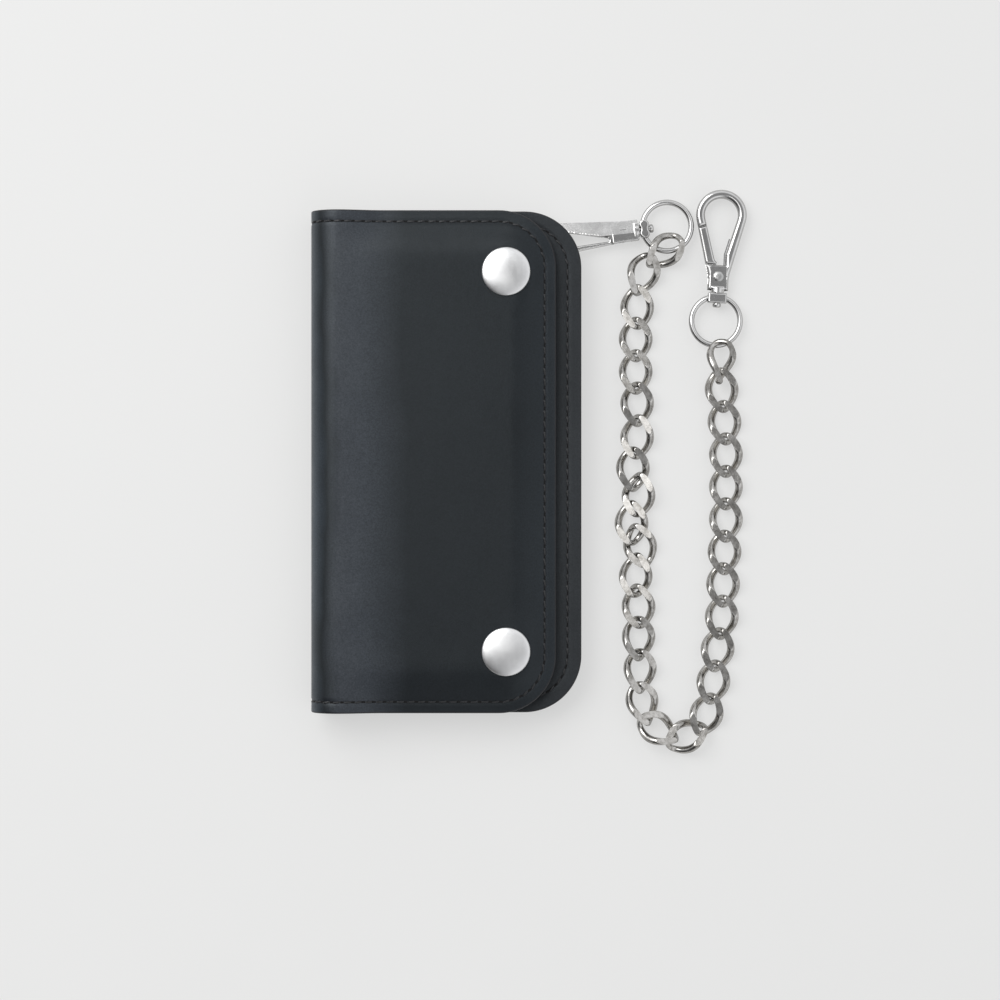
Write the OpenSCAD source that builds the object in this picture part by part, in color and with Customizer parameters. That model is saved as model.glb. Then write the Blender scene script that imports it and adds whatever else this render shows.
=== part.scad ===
// Long bifold leather wallet, closed and lying on its back half, with its curb chain and snap hooks.
// X runs across the wallet, away from the fold. Y runs along the fold. Z is up.
// The origin is under the middle of the wallet, on the plane that it lies on.

/* [Wallet] */
// Length along the fold
wallet_length = 176; // [174:1:182]
// Closed width, from the fold to the back half's outer edge
wallet_width = 95; // [93:1:97]
// Closed thickness
wallet_height = 19; // [19:0.5:21]
// How far the front half's edge lies inside the back half's edge
front_setback = 9; // [8:1:11]
// Radius of the outer corners
corner_radius = 20; // [16:1:22]

/* [Leather] */
// Thickness of the outer cover
cover_thickness = 2; // [1.6:0.1:2]
// Thickness of the inner panels
panel_thickness = 1.2; // [1:0.1:1.2]
// Thickness of the divider and of the card slips
lining_thickness = 0.6; // [0.4:0.1:0.6]
// Gap between the closed halves
halves_gap = 1.2; // [1.2:0.1:1.6]

/* [Snaps] */
// Diameter of a snap cap
cap_diameter = 17; // [14:0.5:18]
// Height of a cap's dome above the leather
cap_height = 2; // [1.6:0.1:2.4]
// Distance of the snaps from the wallet's middle, across
snap_x = 21; // [19:0.5:22]
// Distance of the snaps from the wallet's middle, along
snap_y = 66.3; // [64:0.1:69]

/* [Zip] */
// Length of the zip's teeth
zip_length = 140; // [120:2:144]
// Distance from one tooth to the next
tooth_pitch = 2.5; // [2.5:0.5:4]

/* [Hooks] */
// Length of the free hook, from its swivel to its nose
free_hook_length = 38.4; // [37:0.1:40]
// Width of the free hook
free_hook_width = 17.9; // [16:0.1:19]
// Width of the hook at the wallet
wallet_hook_width = 11.6; // [11:0.1:12]
// Thickness of the hooks
hook_thickness = 3.6; // [3.4:0.1:3.6]
// Mean radius of the swivel rings
ring_radius = 8.6; // [8.5:0.05:8.7]
// Wire of the swivel rings
ring_wire = 1.8; // [1.5:0.1:1.8]

/* [Chain] */
// Outer length of a link
link_length = 16.3; // [16.2:0.05:16.3]
// Outer width of a link
link_width = 12; // [11.8:0.1:12]
// Wire of a link
link_wire = 2.1; // [1.8:0.1:2.1]
// Height of a link between its two ground faces
link_ground_height = 4.4; // [4:0.1:4.4]

/* [Hidden] */
LINKS_IN_A_SEGMENT = 3;
// Each link as it lies: the x and y of its middle, its heading, its roll and how far it is held up
LINKS = [
    [77, 74.5, -140, -20, 0.5],
    [69.5, 66.5, -110, -15, 0],
    [67.5, 55, -90, 5, 0],
    [67, 43.5, -90, 0, 0],
    [67, 32, -90, 0, 0],
    [67.5, 20.5, -90, -5, 0],
    [67.5, 9, -95, 5, 0],
    [66, -2.5, -90, -5, 0],
    [68, -11.5, -95, 10, 0],
    [65.5, -21.5, -90, 5, 0],
    [68.5, -29.5, -75, 5, 0],
    [67, -40, -95, 10, 0],
    [68, -51, -85, 5, 0],
    [68, -62.5, -90, -10, 0],
    [68.5, -74, -90, -15, 0],
    [69.5, -85.5, -75, -20, 0],
    [75, -94.5, -30, -20, 0],
    [85, -97, 25, -10, 0],
    [92, -89.5, 70, 0, 0],
    [94.5, -78, 80, 0, 0],
    [96, -66.5, 80, 0, 0],
    [97.5, -55, 85, 0, 0],
    [98, -43.5, 90, 0, 0],
    [98.5, -32, 90, 0, 0],
    [99, -20.5, 90, 0, 0],
    [99, -9, 90, 0, 0],
    [99, 2.5, 90, 0, 0],
    [98.5, 14, 95, 0, 0],
    [97.5, 25.5, 95, 0, 0],
    [97, 35.5, 85, 40, 0],
];
SEGMENTS = len(LINKS) / LINKS_IN_A_SEGMENT;
function two_digits(n) = n < 10 ? str("0", n) : str(n);
function segment_name(k) = str(
    "chain_links_", two_digits(k * LINKS_IN_A_SEGMENT + 1),
    "_to_", two_digits((k + 1) * LINKS_IN_A_SEGMENT)
);
HOOK_PARTS = ["body", "gate", "gate_rivet", "spring", "swivel_pin", "swivel_collar", "swivel_ring"];
$fn = 64;

LEATHER = [0.16, 0.17, 0.19];
LINING = [0.11, 0.11, 0.12];
NICKEL = [0.75, 0.74, 0.72];

// The wallet's edges and the levels of its layers
half_length = wallet_length / 2;
left_edge = -wallet_width / 2;
back_edge = wallet_width / 2;
front_edge = back_edge - front_setback;
fold_outer = wallet_height / 2;
fold_inner = fold_outer - cover_thickness;
fold_x = left_edge + fold_outer;
back_top = (wallet_height - halves_gap) / 2 + 2.5;
back_panel_z = back_top - panel_thickness;
back_cover_rise = back_panel_z - lining_thickness - cover_thickness;
back_divider_z = (cover_thickness + back_panel_z - lining_thickness) / 2;
front_panel_z = back_top + halves_gap;
seam_gap = 0.05;
front_cover_drop = wallet_height - cover_thickness - front_panel_z - panel_thickness - seam_gap;
front_panel_rise = 2;
back_reach = 40;
front_reach = 16;
FLAT_COLUMNS = 8;
CORNER_COLUMNS = 5;
BEND_COLUMNS = 4;
SHEET_ROWS = 22;

// The cut that parts the cover's rigid pieces at each bend of the fold
bend_gap = 0.3;
bend_cut = bend_gap / fold_outer * 180 / PI;

zip_x = -12;
zip_mid_z = back_panel_z - 0.3;
teeth_half_gap = 0.6;
teeth_edge = 3;
tape_width = 10;
tape_thickness = 0.4;

wallet_hook_spot = [70, 82.5];
wallet_hook_heading = 186.7;
wallet_hook_length = 37.7;
free_hook_spot = [95.8, 58.1];
free_hook_heading = 87;
hook_axis_z = 2.8;
ring_offset = 8.1;

hook_block_start = 3.2;
hook_block_end = 11.8;
hook_block_radius = 3.7;
hook_hollow_x = 14.2;
hook_hollow_radius = 2;
hook_floor_y = -2.2;
hook_rivet_x = 7.6;
hook_wire = 2.7;
gate_slot = 1.8;
gate_play = 0.1;
gate_rivet_radius = 1;
swivel_pin_radius = 1;
swivel_gap = 0.2;
collar_length = 3.5;

// Smooth step from 0 to 1
function eased(t) = let (c = min(1, max(0, t))) c * c * (3 - 2 * c);

// 0 in a half's flat middle, 1 along its stitched edges, and 0 beside the fold
function rise(x, y, edge_x, reach) =
    let (
        across = eased((x - edge_x + reach) / reach),
        along = eased((abs(y) - half_length + reach) / reach) * eased((x - fold_x) / reach)
    )
    1 - (1 - across) * (1 - along);

function back_rise(x, y) = rise(x, y, back_edge, back_reach);
function front_rise(x, y) = rise(x, y, front_edge, front_reach);

// A half's outline: square at the fold, with round corners at the outer edge
module half_outline(from_x, edge_x) {
    translate([from_x, -half_length])
        square([edge_x - corner_radius - from_x, wallet_length]);
    translate([from_x, corner_radius - half_length])
        square([edge_x - from_x, wallet_length - 2 * corner_radius]);
    for (side = [-1, 1])
        translate([edge_x - corner_radius, side * (half_length - corner_radius)])
            circle(corner_radius);
}

// The half's width along the fold, halved, at a distance x from the wallet's middle
function half_width_at(x, edge_x) =
    let (past = max(0, x - edge_x + corner_radius))
    half_length - corner_radius + sqrt(max(0, corner_radius * corner_radius - past * past));

// Where the rows of a layer's corners lie across the half, closer together round its corners
function flat_columns(from_x, edge_x) = concat(
    [for (i = [0:FLAT_COLUMNS]) from_x + (edge_x - corner_radius - from_x) * i / FLAT_COLUMNS],
    [for (k = [1:CORNER_COLUMNS]) edge_x - corner_radius * (1 - sin(90 * k / CORNER_COLUMNS))]
);

// A layer of one thickness over a whole half: its underside lies at base + height * rise.
// With bent set, it also has the first half of the fold's bend.
module layer(from_x, base, height, thickness, edge_x, reach, bent = false) {
    bend_angles = bent ? [for (k = [0:BEND_COLUMNS - 1]) 225 + bend_cut + (45 - bend_cut) * k / BEND_COLUMNS] : [];
    flat_xs = flat_columns(from_x, edge_x);
    rows = SHEET_ROWS;
    columns = len(bend_angles) + len(flat_xs);
    across = rows + 1;
    count = columns * across;
    underside = concat(
        [
            for (a = bend_angles) for (j = [0:rows])
                [fold_x + fold_outer * cos(a), (2 * j / rows - 1) * half_length, fold_outer * (1 + sin(a))]
        ],
        [
            for (x = flat_xs) for (j = [0:rows])
                let (y = (2 * j / rows - 1) * half_width_at(x, edge_x))
                [x, y, base + height * rise(x, y, edge_x, reach)]
        ]
    );
    top = concat(
        [
            for (a = bend_angles) for (j = [0:rows])
                [fold_x + fold_inner * cos(a), (2 * j / rows - 1) * half_length, fold_outer + fold_inner * sin(a)]
        ],
        [for (k = [len(bend_angles) * across:count - 1]) underside[k] + [0, 0, thickness]]
    );
    cells = [for (i = [0:columns - 2]) for (j = [0:rows - 1]) i * across + j];
    lower = [for (c = cells) for (f = [[c + 1, c + across, c], [c + across + 1, c + across, c + 1]]) f];
    upper = [for (f = lower) [f[2] + count, f[1] + count, f[0] + count]];
    rim = concat(
        [for (i = [0:columns - 2]) i * across],
        [for (j = [0:rows - 1]) (columns - 1) * across + j],
        [for (i = [columns - 1:-1:1]) i * across + rows],
        [for (j = [rows:-1:1]) j]
    );
    walls = [
        for (k = [0:len(rim) - 1])
            let (a = rim[k], b = rim[(k + 1) % len(rim)])
            for (f = [[b, b + count, a], [b + count, a + count, a]]) f
    ];
    polyhedron(concat(underside, top), concat(lower, upper, walls));
}

module at_snaps(side) {
    translate([snap_x, side * snap_y, 0])
        children();
}

// Punched holes under the snaps
module post_holes(radius) {
    for (side = [-1, 1])
        at_snaps(side)
            cylinder(h = 2 * wallet_height, r = radius, $fn = 12);
}

cap_post_radius = 2;
stud_post_radius = 1.5;
post_play = 0.15;

module back_cover() {
    color(LEATHER)
        difference() {
            layer(fold_x, 0, back_cover_rise, cover_thickness, back_edge, back_reach, bent = true);
            at_hanger_rivet()
                cylinder(h = 2 * wallet_height, r = hanger_rivet_radius + post_play, $fn = 12);
        }
}

module back_divider() {
    color(LINING)
        difference() {
            layer(
                fold_x + 2, back_divider_z, back_panel_z - lining_thickness - back_divider_z,
                lining_thickness, back_edge, back_reach
            );
            at_hanger_rivet()
                cylinder(h = 2 * wallet_height, r = hanger_head_radius + 0.3, $fn = 12);
        }
}

module back_panel() {
    slot_length = zip_length + 6;
    slot_width = 10;
    color(LEATHER)
        difference() {
            translate([0, 0, back_panel_z])
                linear_extrude(panel_thickness)
                    half_outline(fold_x + 2, back_edge);
            translate([zip_x - slot_width / 2, -slot_length / 2, 0])
                cube([slot_width, slot_length, wallet_height]);
            post_holes(stud_post_radius + post_play);
        }
}

// The back of the fold, between the two bends
module spine_cover() {
    far = 2 * fold_outer;
    ends = [135 + bend_cut, 225 - bend_cut];
    color(LEATHER)
        translate([fold_x, 0, fold_outer])
            rotate([90, 0, 0])
                linear_extrude(wallet_length, center = true)
                    intersection() {
                        difference() {
                            circle(fold_outer);
                            circle(fold_inner);
                        }
                        polygon([
                            [0, 0],
                            far * [cos(ends[0]), sin(ends[0])],
                            [-far, 0],
                            far * [cos(ends[1]), sin(ends[1])]
                        ]);
                    }
}

module front_cover() {
    color(LEATHER)
        difference() {
            translate([0, 0, wallet_height])
                mirror([0, 0, 1])
                    layer(fold_x, 0, front_cover_drop, cover_thickness, front_edge, front_reach, bent = true);
            post_holes(cap_post_radius + post_play);
        }
}

module front_panel() {
    color(LINING)
        difference() {
            layer(
                fold_x + 2, front_panel_z + front_panel_rise, -front_panel_rise,
                panel_thickness, front_edge, front_reach
            );
            post_holes(cap_post_radius + post_play);
        }
}

// The card slips lie like roof tiles in the front panel's hollow
slip_start_x = fold_x + 5;
slip_step_x = 11;
slip_width = 20;
slip_length = 132;

module card_slip(k) {
    color(LEATHER)
        translate([
            slip_start_x + (k - 1) * slip_step_x, -slip_length / 2,
            front_panel_z + front_panel_rise - k * (lining_thickness + 0.05)
        ])
            cube([slip_width, slip_length, lining_thickness]);
}

module zip_tape(side) {
    color(LINING)
        translate([zip_x, 0, zip_mid_z])
            mirror([side < 0 ? 1 : 0, 0, 0])
                translate([teeth_edge + 0.05, -zip_length / 2 - 4, -tape_thickness / 2])
                    cube([tape_width, zip_length + 8, tape_thickness]);
}

tooth_height = 1.4;
cord_width = 0.8;

// One row of teeth on its cord; the two rows stand half a pitch apart
module zip_teeth(side) {
    tooth_length = 0.5 * tooth_pitch;
    count = floor(zip_length / tooth_pitch) - 1;
    first = (side - 1) / 2 * tooth_pitch / 2 - count * tooth_pitch / 2;
    color(NICKEL)
        translate([zip_x, 0, zip_mid_z - tooth_height / 2])
            mirror([side < 0 ? 1 : 0, 0, 0]) {
                translate([teeth_edge - cord_width, -zip_length / 2, 0])
                    cube([cord_width, zip_length, tooth_height]);
                for (i = [0:count])
                    translate([teeth_half_gap, first + i * tooth_pitch, 0])
                        cube([teeth_edge - cord_width / 2 - teeth_half_gap, tooth_length, tooth_height]);
            }
}

module zip_stop(side) {
    stop_length = 2;
    color(NICKEL)
        translate([zip_x, side * (zip_length / 2 + 0.2 + stop_length / 2), zip_mid_z])
            cube([2 * teeth_edge - 0.2, stop_length, tooth_height], center = true);
}

slider_length = 9;
slider_width = 7.6;
slider_plate = 0.5;
slider_bore_height = tooth_height + 0.3;
slider_y = zip_length / 2 - slider_length / 2 - 1;

// The slider: two plates, over and under the teeth, joined by the wedge that parts the rows
module zip_slider() {
    wedge = [2 * teeth_half_gap - 0.4, 2.5];
    color(NICKEL)
        translate([zip_x, slider_y, zip_mid_z]) {
            for (side = [-1, 1])
                translate([0, 0, side * (slider_bore_height + slider_plate) / 2])
                    cube([slider_width, slider_length, slider_plate], center = true);
            translate([0, slider_length / 2 - wedge[1] / 2, 0])
                cube([wedge[0], wedge[1], slider_bore_height + slider_plate], center = true);
            translate([0, 0, slider_bore_height / 2 + slider_plate + 0.35])
                cube([1.2, 4, 0.9], center = true);
        }
}

// The pull tab lies flat over the slider, around its bail, high enough to pass over the panel
module zip_pull() {
    pull_width = 5;
    pull_length = 19;
    pull_thickness = 0.5;
    color(NICKEL)
        translate([zip_x, slider_y, back_top + 0.1])
            linear_extrude(pull_thickness)
                difference() {
                    union() {
                        circle(pull_width / 2);
                        translate([-pull_width / 2, -pull_length])
                            square([pull_width, pull_length]);
                        translate([0, -pull_length])
                            circle(pull_width / 2);
                    }
                    square([1.4, 4.2], center = true);
                    translate([0, 1 - pull_length])
                        circle(1.4);
                }
}

cap_seat_z = wallet_height - front_cover_drop * front_rise(snap_x, snap_y);
socket_top = front_panel_z + front_panel_rise - 0.6;
socket_height = 2;

// A low-domed cap with a rolled rim, and the hollow post under it that goes through the leather
module snap_cap(side) {
    rim = 0.5;
    dome_height = cap_height - rim;
    cap_radius = cap_diameter / 2;
    dome_radius = (cap_radius * cap_radius + dome_height * dome_height) / (2 * dome_height);
    color(NICKEL)
        at_snaps(side) {
            translate([0, 0, cap_seat_z]) {
                cylinder(h = rim, r = cap_radius);
                intersection() {
                    cylinder(h = cap_height, r = cap_radius);
                    translate([0, 0, cap_height - dome_radius])
                        sphere(dome_radius, $fn = 128);
                }
            }
            translate([0, 0, socket_top - 0.5])
                cylinder(h = cap_seat_z - socket_top + 1, r = cap_post_radius);
        }
}

socket_bore = 2.75;

module snap_socket(side) {
    socket_radius = 5.6;
    socket_roof = 0.6;
    color(NICKEL)
        at_snaps(side)
            translate([0, 0, socket_top - socket_height])
                difference() {
                    cylinder(h = socket_height, r = socket_radius);
                    translate([0, 0, -1])
                        cylinder(h = socket_height - socket_roof + 1, r = socket_bore);
                    cylinder(h = socket_height + 1, r = cap_post_radius + 0.05);
                }
}

stud_height = 1.8;

// A stud: its base on the leather, its neck, its round head and the blind hole for its post
module snap_stud(side) {
    base_height = 0.4;
    head_radius = socket_bore - 0.25;
    color(NICKEL)
        at_snaps(side)
            translate([0, 0, back_top])
                difference() {
                    union() {
                        cylinder(h = base_height, r = 4.6);
                        cylinder(h = stud_height, r = head_radius - 0.35);
                        translate([0, 0, stud_height - 0.9])
                            cylinder(h = 0.6, r = head_radius);
                    }
                    translate([0, 0, -1])
                        cylinder(h = stud_height + 0.6, r = stud_post_radius + 0.05);
                }
}

module snap_post(side) {
    flange_height = 0.5;
    color(NICKEL)
        at_snaps(side)
            translate([0, 0, back_panel_z - flange_height - 0.05]) {
                cylinder(h = flange_height, r = 4.2);
                cylinder(h = flange_height + panel_thickness + stud_height - 0.6, r = stud_post_radius);
            }
}

// Everything on a hook is laid out along its own x axis, from its swivel to its nose
module at_wallet_hook() {
    translate([wallet_hook_spot[0], wallet_hook_spot[1], hook_axis_z])
        rotate([0, 0, wallet_hook_heading])
            children();
}

module at_free_hook() {
    translate([free_hook_spot[0], free_hook_spot[1], hook_axis_z])
        rotate([0, 0, free_hook_heading])
            children();
}

hanger_width = 4.4;
hanger_leather = 0.8;
hanger_rivet_radius = 1.2;
hanger_head_radius = 2.2;
hanger_rivet_x = 48;
hanger_bend_x = wallet_hook_length - 5.1;

module at_hanger_rivet() {
    at_wallet_hook()
        translate([hanger_rivet_x, 0, -hook_axis_z])
            children();
}

// A thong folded round the hook's nose, its two ends riveted together to the cover's underside
module hanger_strap() {
    inner = hook_thickness / 2 + gate_play;
    outer = inner + hanger_leather;
    nose_end = wallet_hook_length + 1;
    joined_x = hanger_rivet_x - 4;
    end_x = hanger_rivet_x + 3.5;
    color(LEATHER)
        at_wallet_hook()
            difference() {
                rotate([90, 0, 0])
                    linear_extrude(hanger_width, center = true) {
                        translate([hanger_bend_x, -outer])
                            square([hanger_leather, 2 * outer]);
                        translate([hanger_bend_x, inner])
                            square([end_x - hanger_bend_x, hanger_leather]);
                        polygon([
                            [hanger_bend_x, -outer],
                            [nose_end, -outer],
                            [joined_x, inner - hanger_leather],
                            [end_x, inner - hanger_leather],
                            [end_x, inner],
                            [joined_x, inner],
                            [nose_end, -inner],
                            [hanger_bend_x, -inner]
                        ]);
                    }
                translate([hanger_rivet_x, 0, -hook_axis_z])
                    cylinder(h = 2 * wallet_height, r = hanger_rivet_radius + 0.1);
            }
}

module hanger_rivet() {
    head_height = 0.5;
    under_strap = hook_axis_z + hook_thickness / 2 + gate_play - hanger_leather - 0.02;
    spot = wallet_hook_spot + hanger_rivet_x * [cos(wallet_hook_heading), sin(wallet_hook_heading)];
    over_cover = cover_thickness + back_cover_rise * back_rise(spot[0], spot[1]) + 0.5;
    color(NICKEL)
        at_hanger_rivet() {
            translate([0, 0, under_strap - head_height])
                cylinder(h = head_height, r = hanger_head_radius);
            translate([0, 0, under_strap - head_height])
                cylinder(h = over_cover + head_height - under_strap, r = hanger_rivet_radius);
            translate([0, 0, over_cover])
                cylinder(h = head_height, r = hanger_head_radius);
        }
}

// A tangent is set this far into its circles, so that their outlines cross cleanly
TANGENT_INSET = 0.02;

// A drop: a big circle at far_x, a small one at near_x and their common tangents
module drop(far_x, far_radius, near_x, near_radius) {
    lean = asin((far_radius - near_radius) / (far_x - near_x));
    normal = [sin(lean), cos(lean)];
    far = (far_radius - TANGENT_INSET) * normal;
    near = (near_radius - TANGENT_INSET) * normal;
    translate([far_x, 0])
        circle(far_radius);
    translate([near_x, 0])
        circle(near_radius);
    polygon([
        [far_x + far[0], far[1]],
        [near_x + near[0], near[1]],
        [near_x + near[0], -near[1]],
        [far_x + far[0], -far[1]]
    ]);
}

// The hook's flat shape: a drop-shaped loop on a solid block
module hook_loop(length, width) {
    far_radius = width / 2;
    far_x = length - far_radius;
    difference() {
        union() {
            drop(far_x, far_radius, hook_block_end - hook_block_radius, hook_block_radius);
            translate([hook_block_start, -hook_block_radius])
                square([hook_block_radius, 2 * hook_block_radius]);
        }
        drop(far_x, far_radius - hook_wire, hook_hollow_x, hook_hollow_radius);
    }
}

// Where the gate closes the loop. It ends on an arc round the gate's rivet, so the gate swings clear.
module hook_mouth(length, width, floor_y, play) {
    far_radius = width / 2;
    mouth_reach = length - 1.35 * far_radius - hook_rivet_x;
    intersection() {
        translate([hook_block_end + play, floor_y])
            square([length, width]);
        translate([hook_rivet_x, 0])
            circle(mouth_reach - play, $fn = 128);
    }
}

module hook_body(length, width) {
    neck_radius = 2.2;
    neck_end = collar_length / 2 + swivel_gap;
    pin_hole_radius = swivel_pin_radius + 0.05;
    slot_start = hook_rivet_x - 2.8;
    color(NICKEL)
        difference() {
            union() {
                translate([0, 0, -hook_thickness / 2])
                    linear_extrude(hook_thickness)
                        difference() {
                            hook_loop(length, width);
                            hook_mouth(length, width, hook_floor_y, 0);
                        }
                translate([neck_end, 0, 0])
                    rotate([0, 90, 0])
                        cylinder(h = hook_block_start + 0.5 - neck_end, r = neck_radius);
            }
            translate([slot_start, -2.7, -gate_slot / 2])
                cube([hook_block_end + 1 - slot_start, width, gate_slot]);
            translate([hook_rivet_x, 0, -hook_thickness])
                cylinder(h = 2 * hook_thickness, r = gate_rivet_radius + 0.05);
            rotate([0, 90, 0])
                cylinder(h = hook_block_start + 0.8, r = pin_hole_radius);
        }
}

// The gate: an arm that fills the mouth and a thinner knuckle in the block's slot
module hook_gate(length, width) {
    arm_thickness = hook_thickness - 0.6;
    knuckle_thickness = gate_slot - 0.2;
    knuckle_radius = 2.4;
    color(NICKEL)
        difference() {
            union() {
                translate([0, 0, -arm_thickness / 2])
                    linear_extrude(arm_thickness)
                        intersection() {
                            hook_loop(length, width);
                            hook_mouth(length, width, 0.9, gate_play);
                        }
                translate([hook_rivet_x, 0, -knuckle_thickness / 2]) {
                    cylinder(h = knuckle_thickness, r = knuckle_radius);
                    translate([0, 0.9, 0])
                        cube([hook_block_end + 1 - hook_rivet_x, 1.4, knuckle_thickness]);
                }
            }
            translate([hook_rivet_x, 0, -hook_thickness])
                cylinder(h = 2 * hook_thickness, r = gate_rivet_radius + 0.1);
        }
}

module hook_gate_rivet() {
    head_height = 0.35;
    head_radius = 1.95;
    color(NICKEL)
        translate([hook_rivet_x, 0, 0]) {
            cylinder(h = hook_thickness + 2 * head_height, r = gate_rivet_radius, center = true);
            for (side = [-1, 1])
                translate([0, 0, side * (hook_thickness + head_height) / 2])
                    cylinder(h = head_height, r = head_radius, center = true);
        }
}

// A leaf spring from the block's slot along the inside of the solid leg
module hook_spring(length, width) {
    leaf = 0.4;
    leaf_height = gate_slot - 0.2;
    root_x = hook_block_end - 2;
    bend_x = hook_hollow_x + 0.8;
    tip_x = bend_x + 5.5;
    root_y = hook_floor_y + 0.4;
    hollow_radius = width / 2 - hook_wire;
    slope = (hollow_radius - hook_hollow_radius) / (length - width / 2 - hook_hollow_x);
    tip_y = root_y - slope * (tip_x - bend_x);
    color(NICKEL)
        translate([0, 0, -leaf_height / 2])
            linear_extrude(leaf_height)
                polygon([
                    [root_x, root_y], [bend_x, root_y], [tip_x, tip_y],
                    [tip_x, tip_y + leaf], [bend_x, root_y + leaf], [root_x, root_y + leaf]
                ]);
}

// The pin that holds the collar on the hook, its round head inside the ring
module hook_swivel_pin() {
    head_length = 1.4;
    head_radius = 1.5;
    color(NICKEL)
        rotate([0, 90, 0]) {
            translate([0, 0, -collar_length / 2 - swivel_gap - head_length])
                cylinder(h = head_length, r = head_radius);
            translate([0, 0, -collar_length / 2 - swivel_gap - head_length])
                cylinder(h = collar_length / 2 + swivel_gap + head_length + hook_block_start + 0.7,
                    r = swivel_pin_radius);
        }
}

module hook_swivel_collar() {
    collar_width = 6.7;
    collar_height = 4.6;
    color(NICKEL)
        difference() {
            intersection() {
                cube([collar_length, collar_width, collar_height], center = true);
                rotate([0, 90, 0])
                    cylinder(h = collar_length, r = 3.7, center = true);
            }
            rotate([0, 90, 0])
                cylinder(h = 2 * collar_length, r = swivel_pin_radius + 0.1, center = true);
            translate([-ring_offset, 0, 0])
                rotate_extrude($fn = 128)
                    translate([ring_radius, 0])
                        circle(ring_wire / 2 + 0.05, $fn = 32);
        }
}

// The ring is open, and its two ends sit in the collar on either side of the pin
module hook_swivel_ring() {
    end_angle = asin((swivel_pin_radius + 0.6) / ring_radius);
    color(NICKEL)
        translate([-ring_offset, 0, 0])
            rotate([0, 0, end_angle])
                rotate_extrude(angle = 360 - 2 * end_angle, $fn = 128)
                    translate([ring_radius, 0])
                        circle(ring_wire / 2, $fn = 32);
}

module hook_part(part, length, width) {
    if (part == "body")
        hook_body(length, width);
    if (part == "gate")
        hook_gate(length, width);
    if (part == "gate_rivet")
        hook_gate_rivet();
    if (part == "spring")
        hook_spring(length, width);
    if (part == "swivel_pin")
        hook_swivel_pin();
    if (part == "swivel_collar")
        hook_swivel_collar();
    if (part == "swivel_ring")
        hook_swivel_ring();
}

// A curb link: an oval of round wire, twisted so that the next link lies flat against it
link_half_length = (link_length - link_wire) / 2;
link_half_width = (link_width - link_wire) / 2;
link_twist = -45;
link_rings = 24;
link_sides = 8;

function wire_point(t) =
    let (turn = link_twist * cos(t), reach = link_half_width * sin(t))
    [link_half_length * cos(t), reach * cos(turn), reach * sin(turn)];

function unit(v) = v / norm(v);

// A point on the wire's skin, held between the link's two ground faces
function skin_point(t, q) =
    let (
        middle = wire_point(t),
        along = unit(wire_point(t + 0.1) - wire_point(t - 0.1)),
        outward = unit(middle - along * (along * middle)),
        sideways = cross(along, outward),
        p = middle + link_wire / 2 * (cos(q) * outward + sin(q) * sideways),
        ground = link_ground_height / 2
    )
    [p[0], p[1], min(ground, max(-ground, p[2]))];

link_skin = [
    for (i = [0:link_rings - 1]) for (j = [0:link_sides - 1])
        skin_point(i * 360 / link_rings, (j + 0.5) * 360 / link_sides)
];

link_faces = [
    for (i = [0:link_rings - 1]) for (j = [0:link_sides - 1])
        let (
            next_i = (i + 1) % link_rings,
            next_j = (j + 1) % link_sides,
            a = i * link_sides + j,
            b = i * link_sides + next_j,
            c = next_i * link_sides + next_j,
            d = next_i * link_sides + j
        )
        for (f = [[a, b, c], [a, c, d]]) f
];

function lowest(roll) = min([for (p = link_skin) p[1] * sin(roll) + p[2] * cos(roll)]);

module curb_link(link) {
    roll = link[3];
    translate([link[0], link[1], link[4] - lowest(roll)])
        rotate([roll, 0, link[2]])
            polyhedron(link_skin, link_faces);
}

module chain_segment(k) {
    color(NICKEL)
        for (i = [0:LINKS_IN_A_SEGMENT - 1])
            curb_link(LINKS[k * LINKS_IN_A_SEGMENT + i]);
}

back_cover();
back_divider();
back_panel();
spine_cover();
front_cover();
front_panel();
for (k = [1:3])
    card_slip(k);
for (side = [["left", -1], ["right", 1]]) {
    zip_tape(side[1]);
    zip_teeth(side[1]);
}
for (end = [["top", 1], ["bottom", -1]]) {
    zip_stop(end[1]);
    snap_cap(end[1]);
    snap_socket(end[1]);
    snap_stud(end[1]);
    snap_post(end[1]);
}
zip_slider();
zip_pull();
hanger_strap();
hanger_rivet();
for (part = HOOK_PARTS) {
    at_wallet_hook() hook_part(part, wallet_hook_length, wallet_hook_width);
    at_free_hook() hook_part(part, free_hook_length, free_hook_width);
}
for (k = [0:SEGMENTS - 1])
    chain_segment(k);
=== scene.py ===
"""A long bifold chain wallet, closed on a pale table, with its curb chain and snap hooks.

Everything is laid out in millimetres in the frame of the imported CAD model: X runs across the wallet away
from its fold, Y along the fold and Z up. Points become metres when a mesh is made.
"""

import functools
import math

import bmesh
import bpy
import numpy as np
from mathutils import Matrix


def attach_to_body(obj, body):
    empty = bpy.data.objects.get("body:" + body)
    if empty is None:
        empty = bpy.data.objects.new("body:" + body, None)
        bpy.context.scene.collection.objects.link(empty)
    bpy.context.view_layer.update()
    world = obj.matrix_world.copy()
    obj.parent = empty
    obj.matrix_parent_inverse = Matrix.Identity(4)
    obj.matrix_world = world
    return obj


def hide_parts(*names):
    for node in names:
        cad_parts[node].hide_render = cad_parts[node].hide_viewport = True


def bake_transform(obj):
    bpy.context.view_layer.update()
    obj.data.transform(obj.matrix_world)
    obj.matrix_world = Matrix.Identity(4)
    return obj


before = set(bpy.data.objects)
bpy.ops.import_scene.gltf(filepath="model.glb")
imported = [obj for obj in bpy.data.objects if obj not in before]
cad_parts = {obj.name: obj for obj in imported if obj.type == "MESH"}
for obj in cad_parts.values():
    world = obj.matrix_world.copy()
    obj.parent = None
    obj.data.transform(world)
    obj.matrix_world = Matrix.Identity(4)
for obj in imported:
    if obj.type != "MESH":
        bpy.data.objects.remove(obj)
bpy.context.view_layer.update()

MM = 0.001

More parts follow.
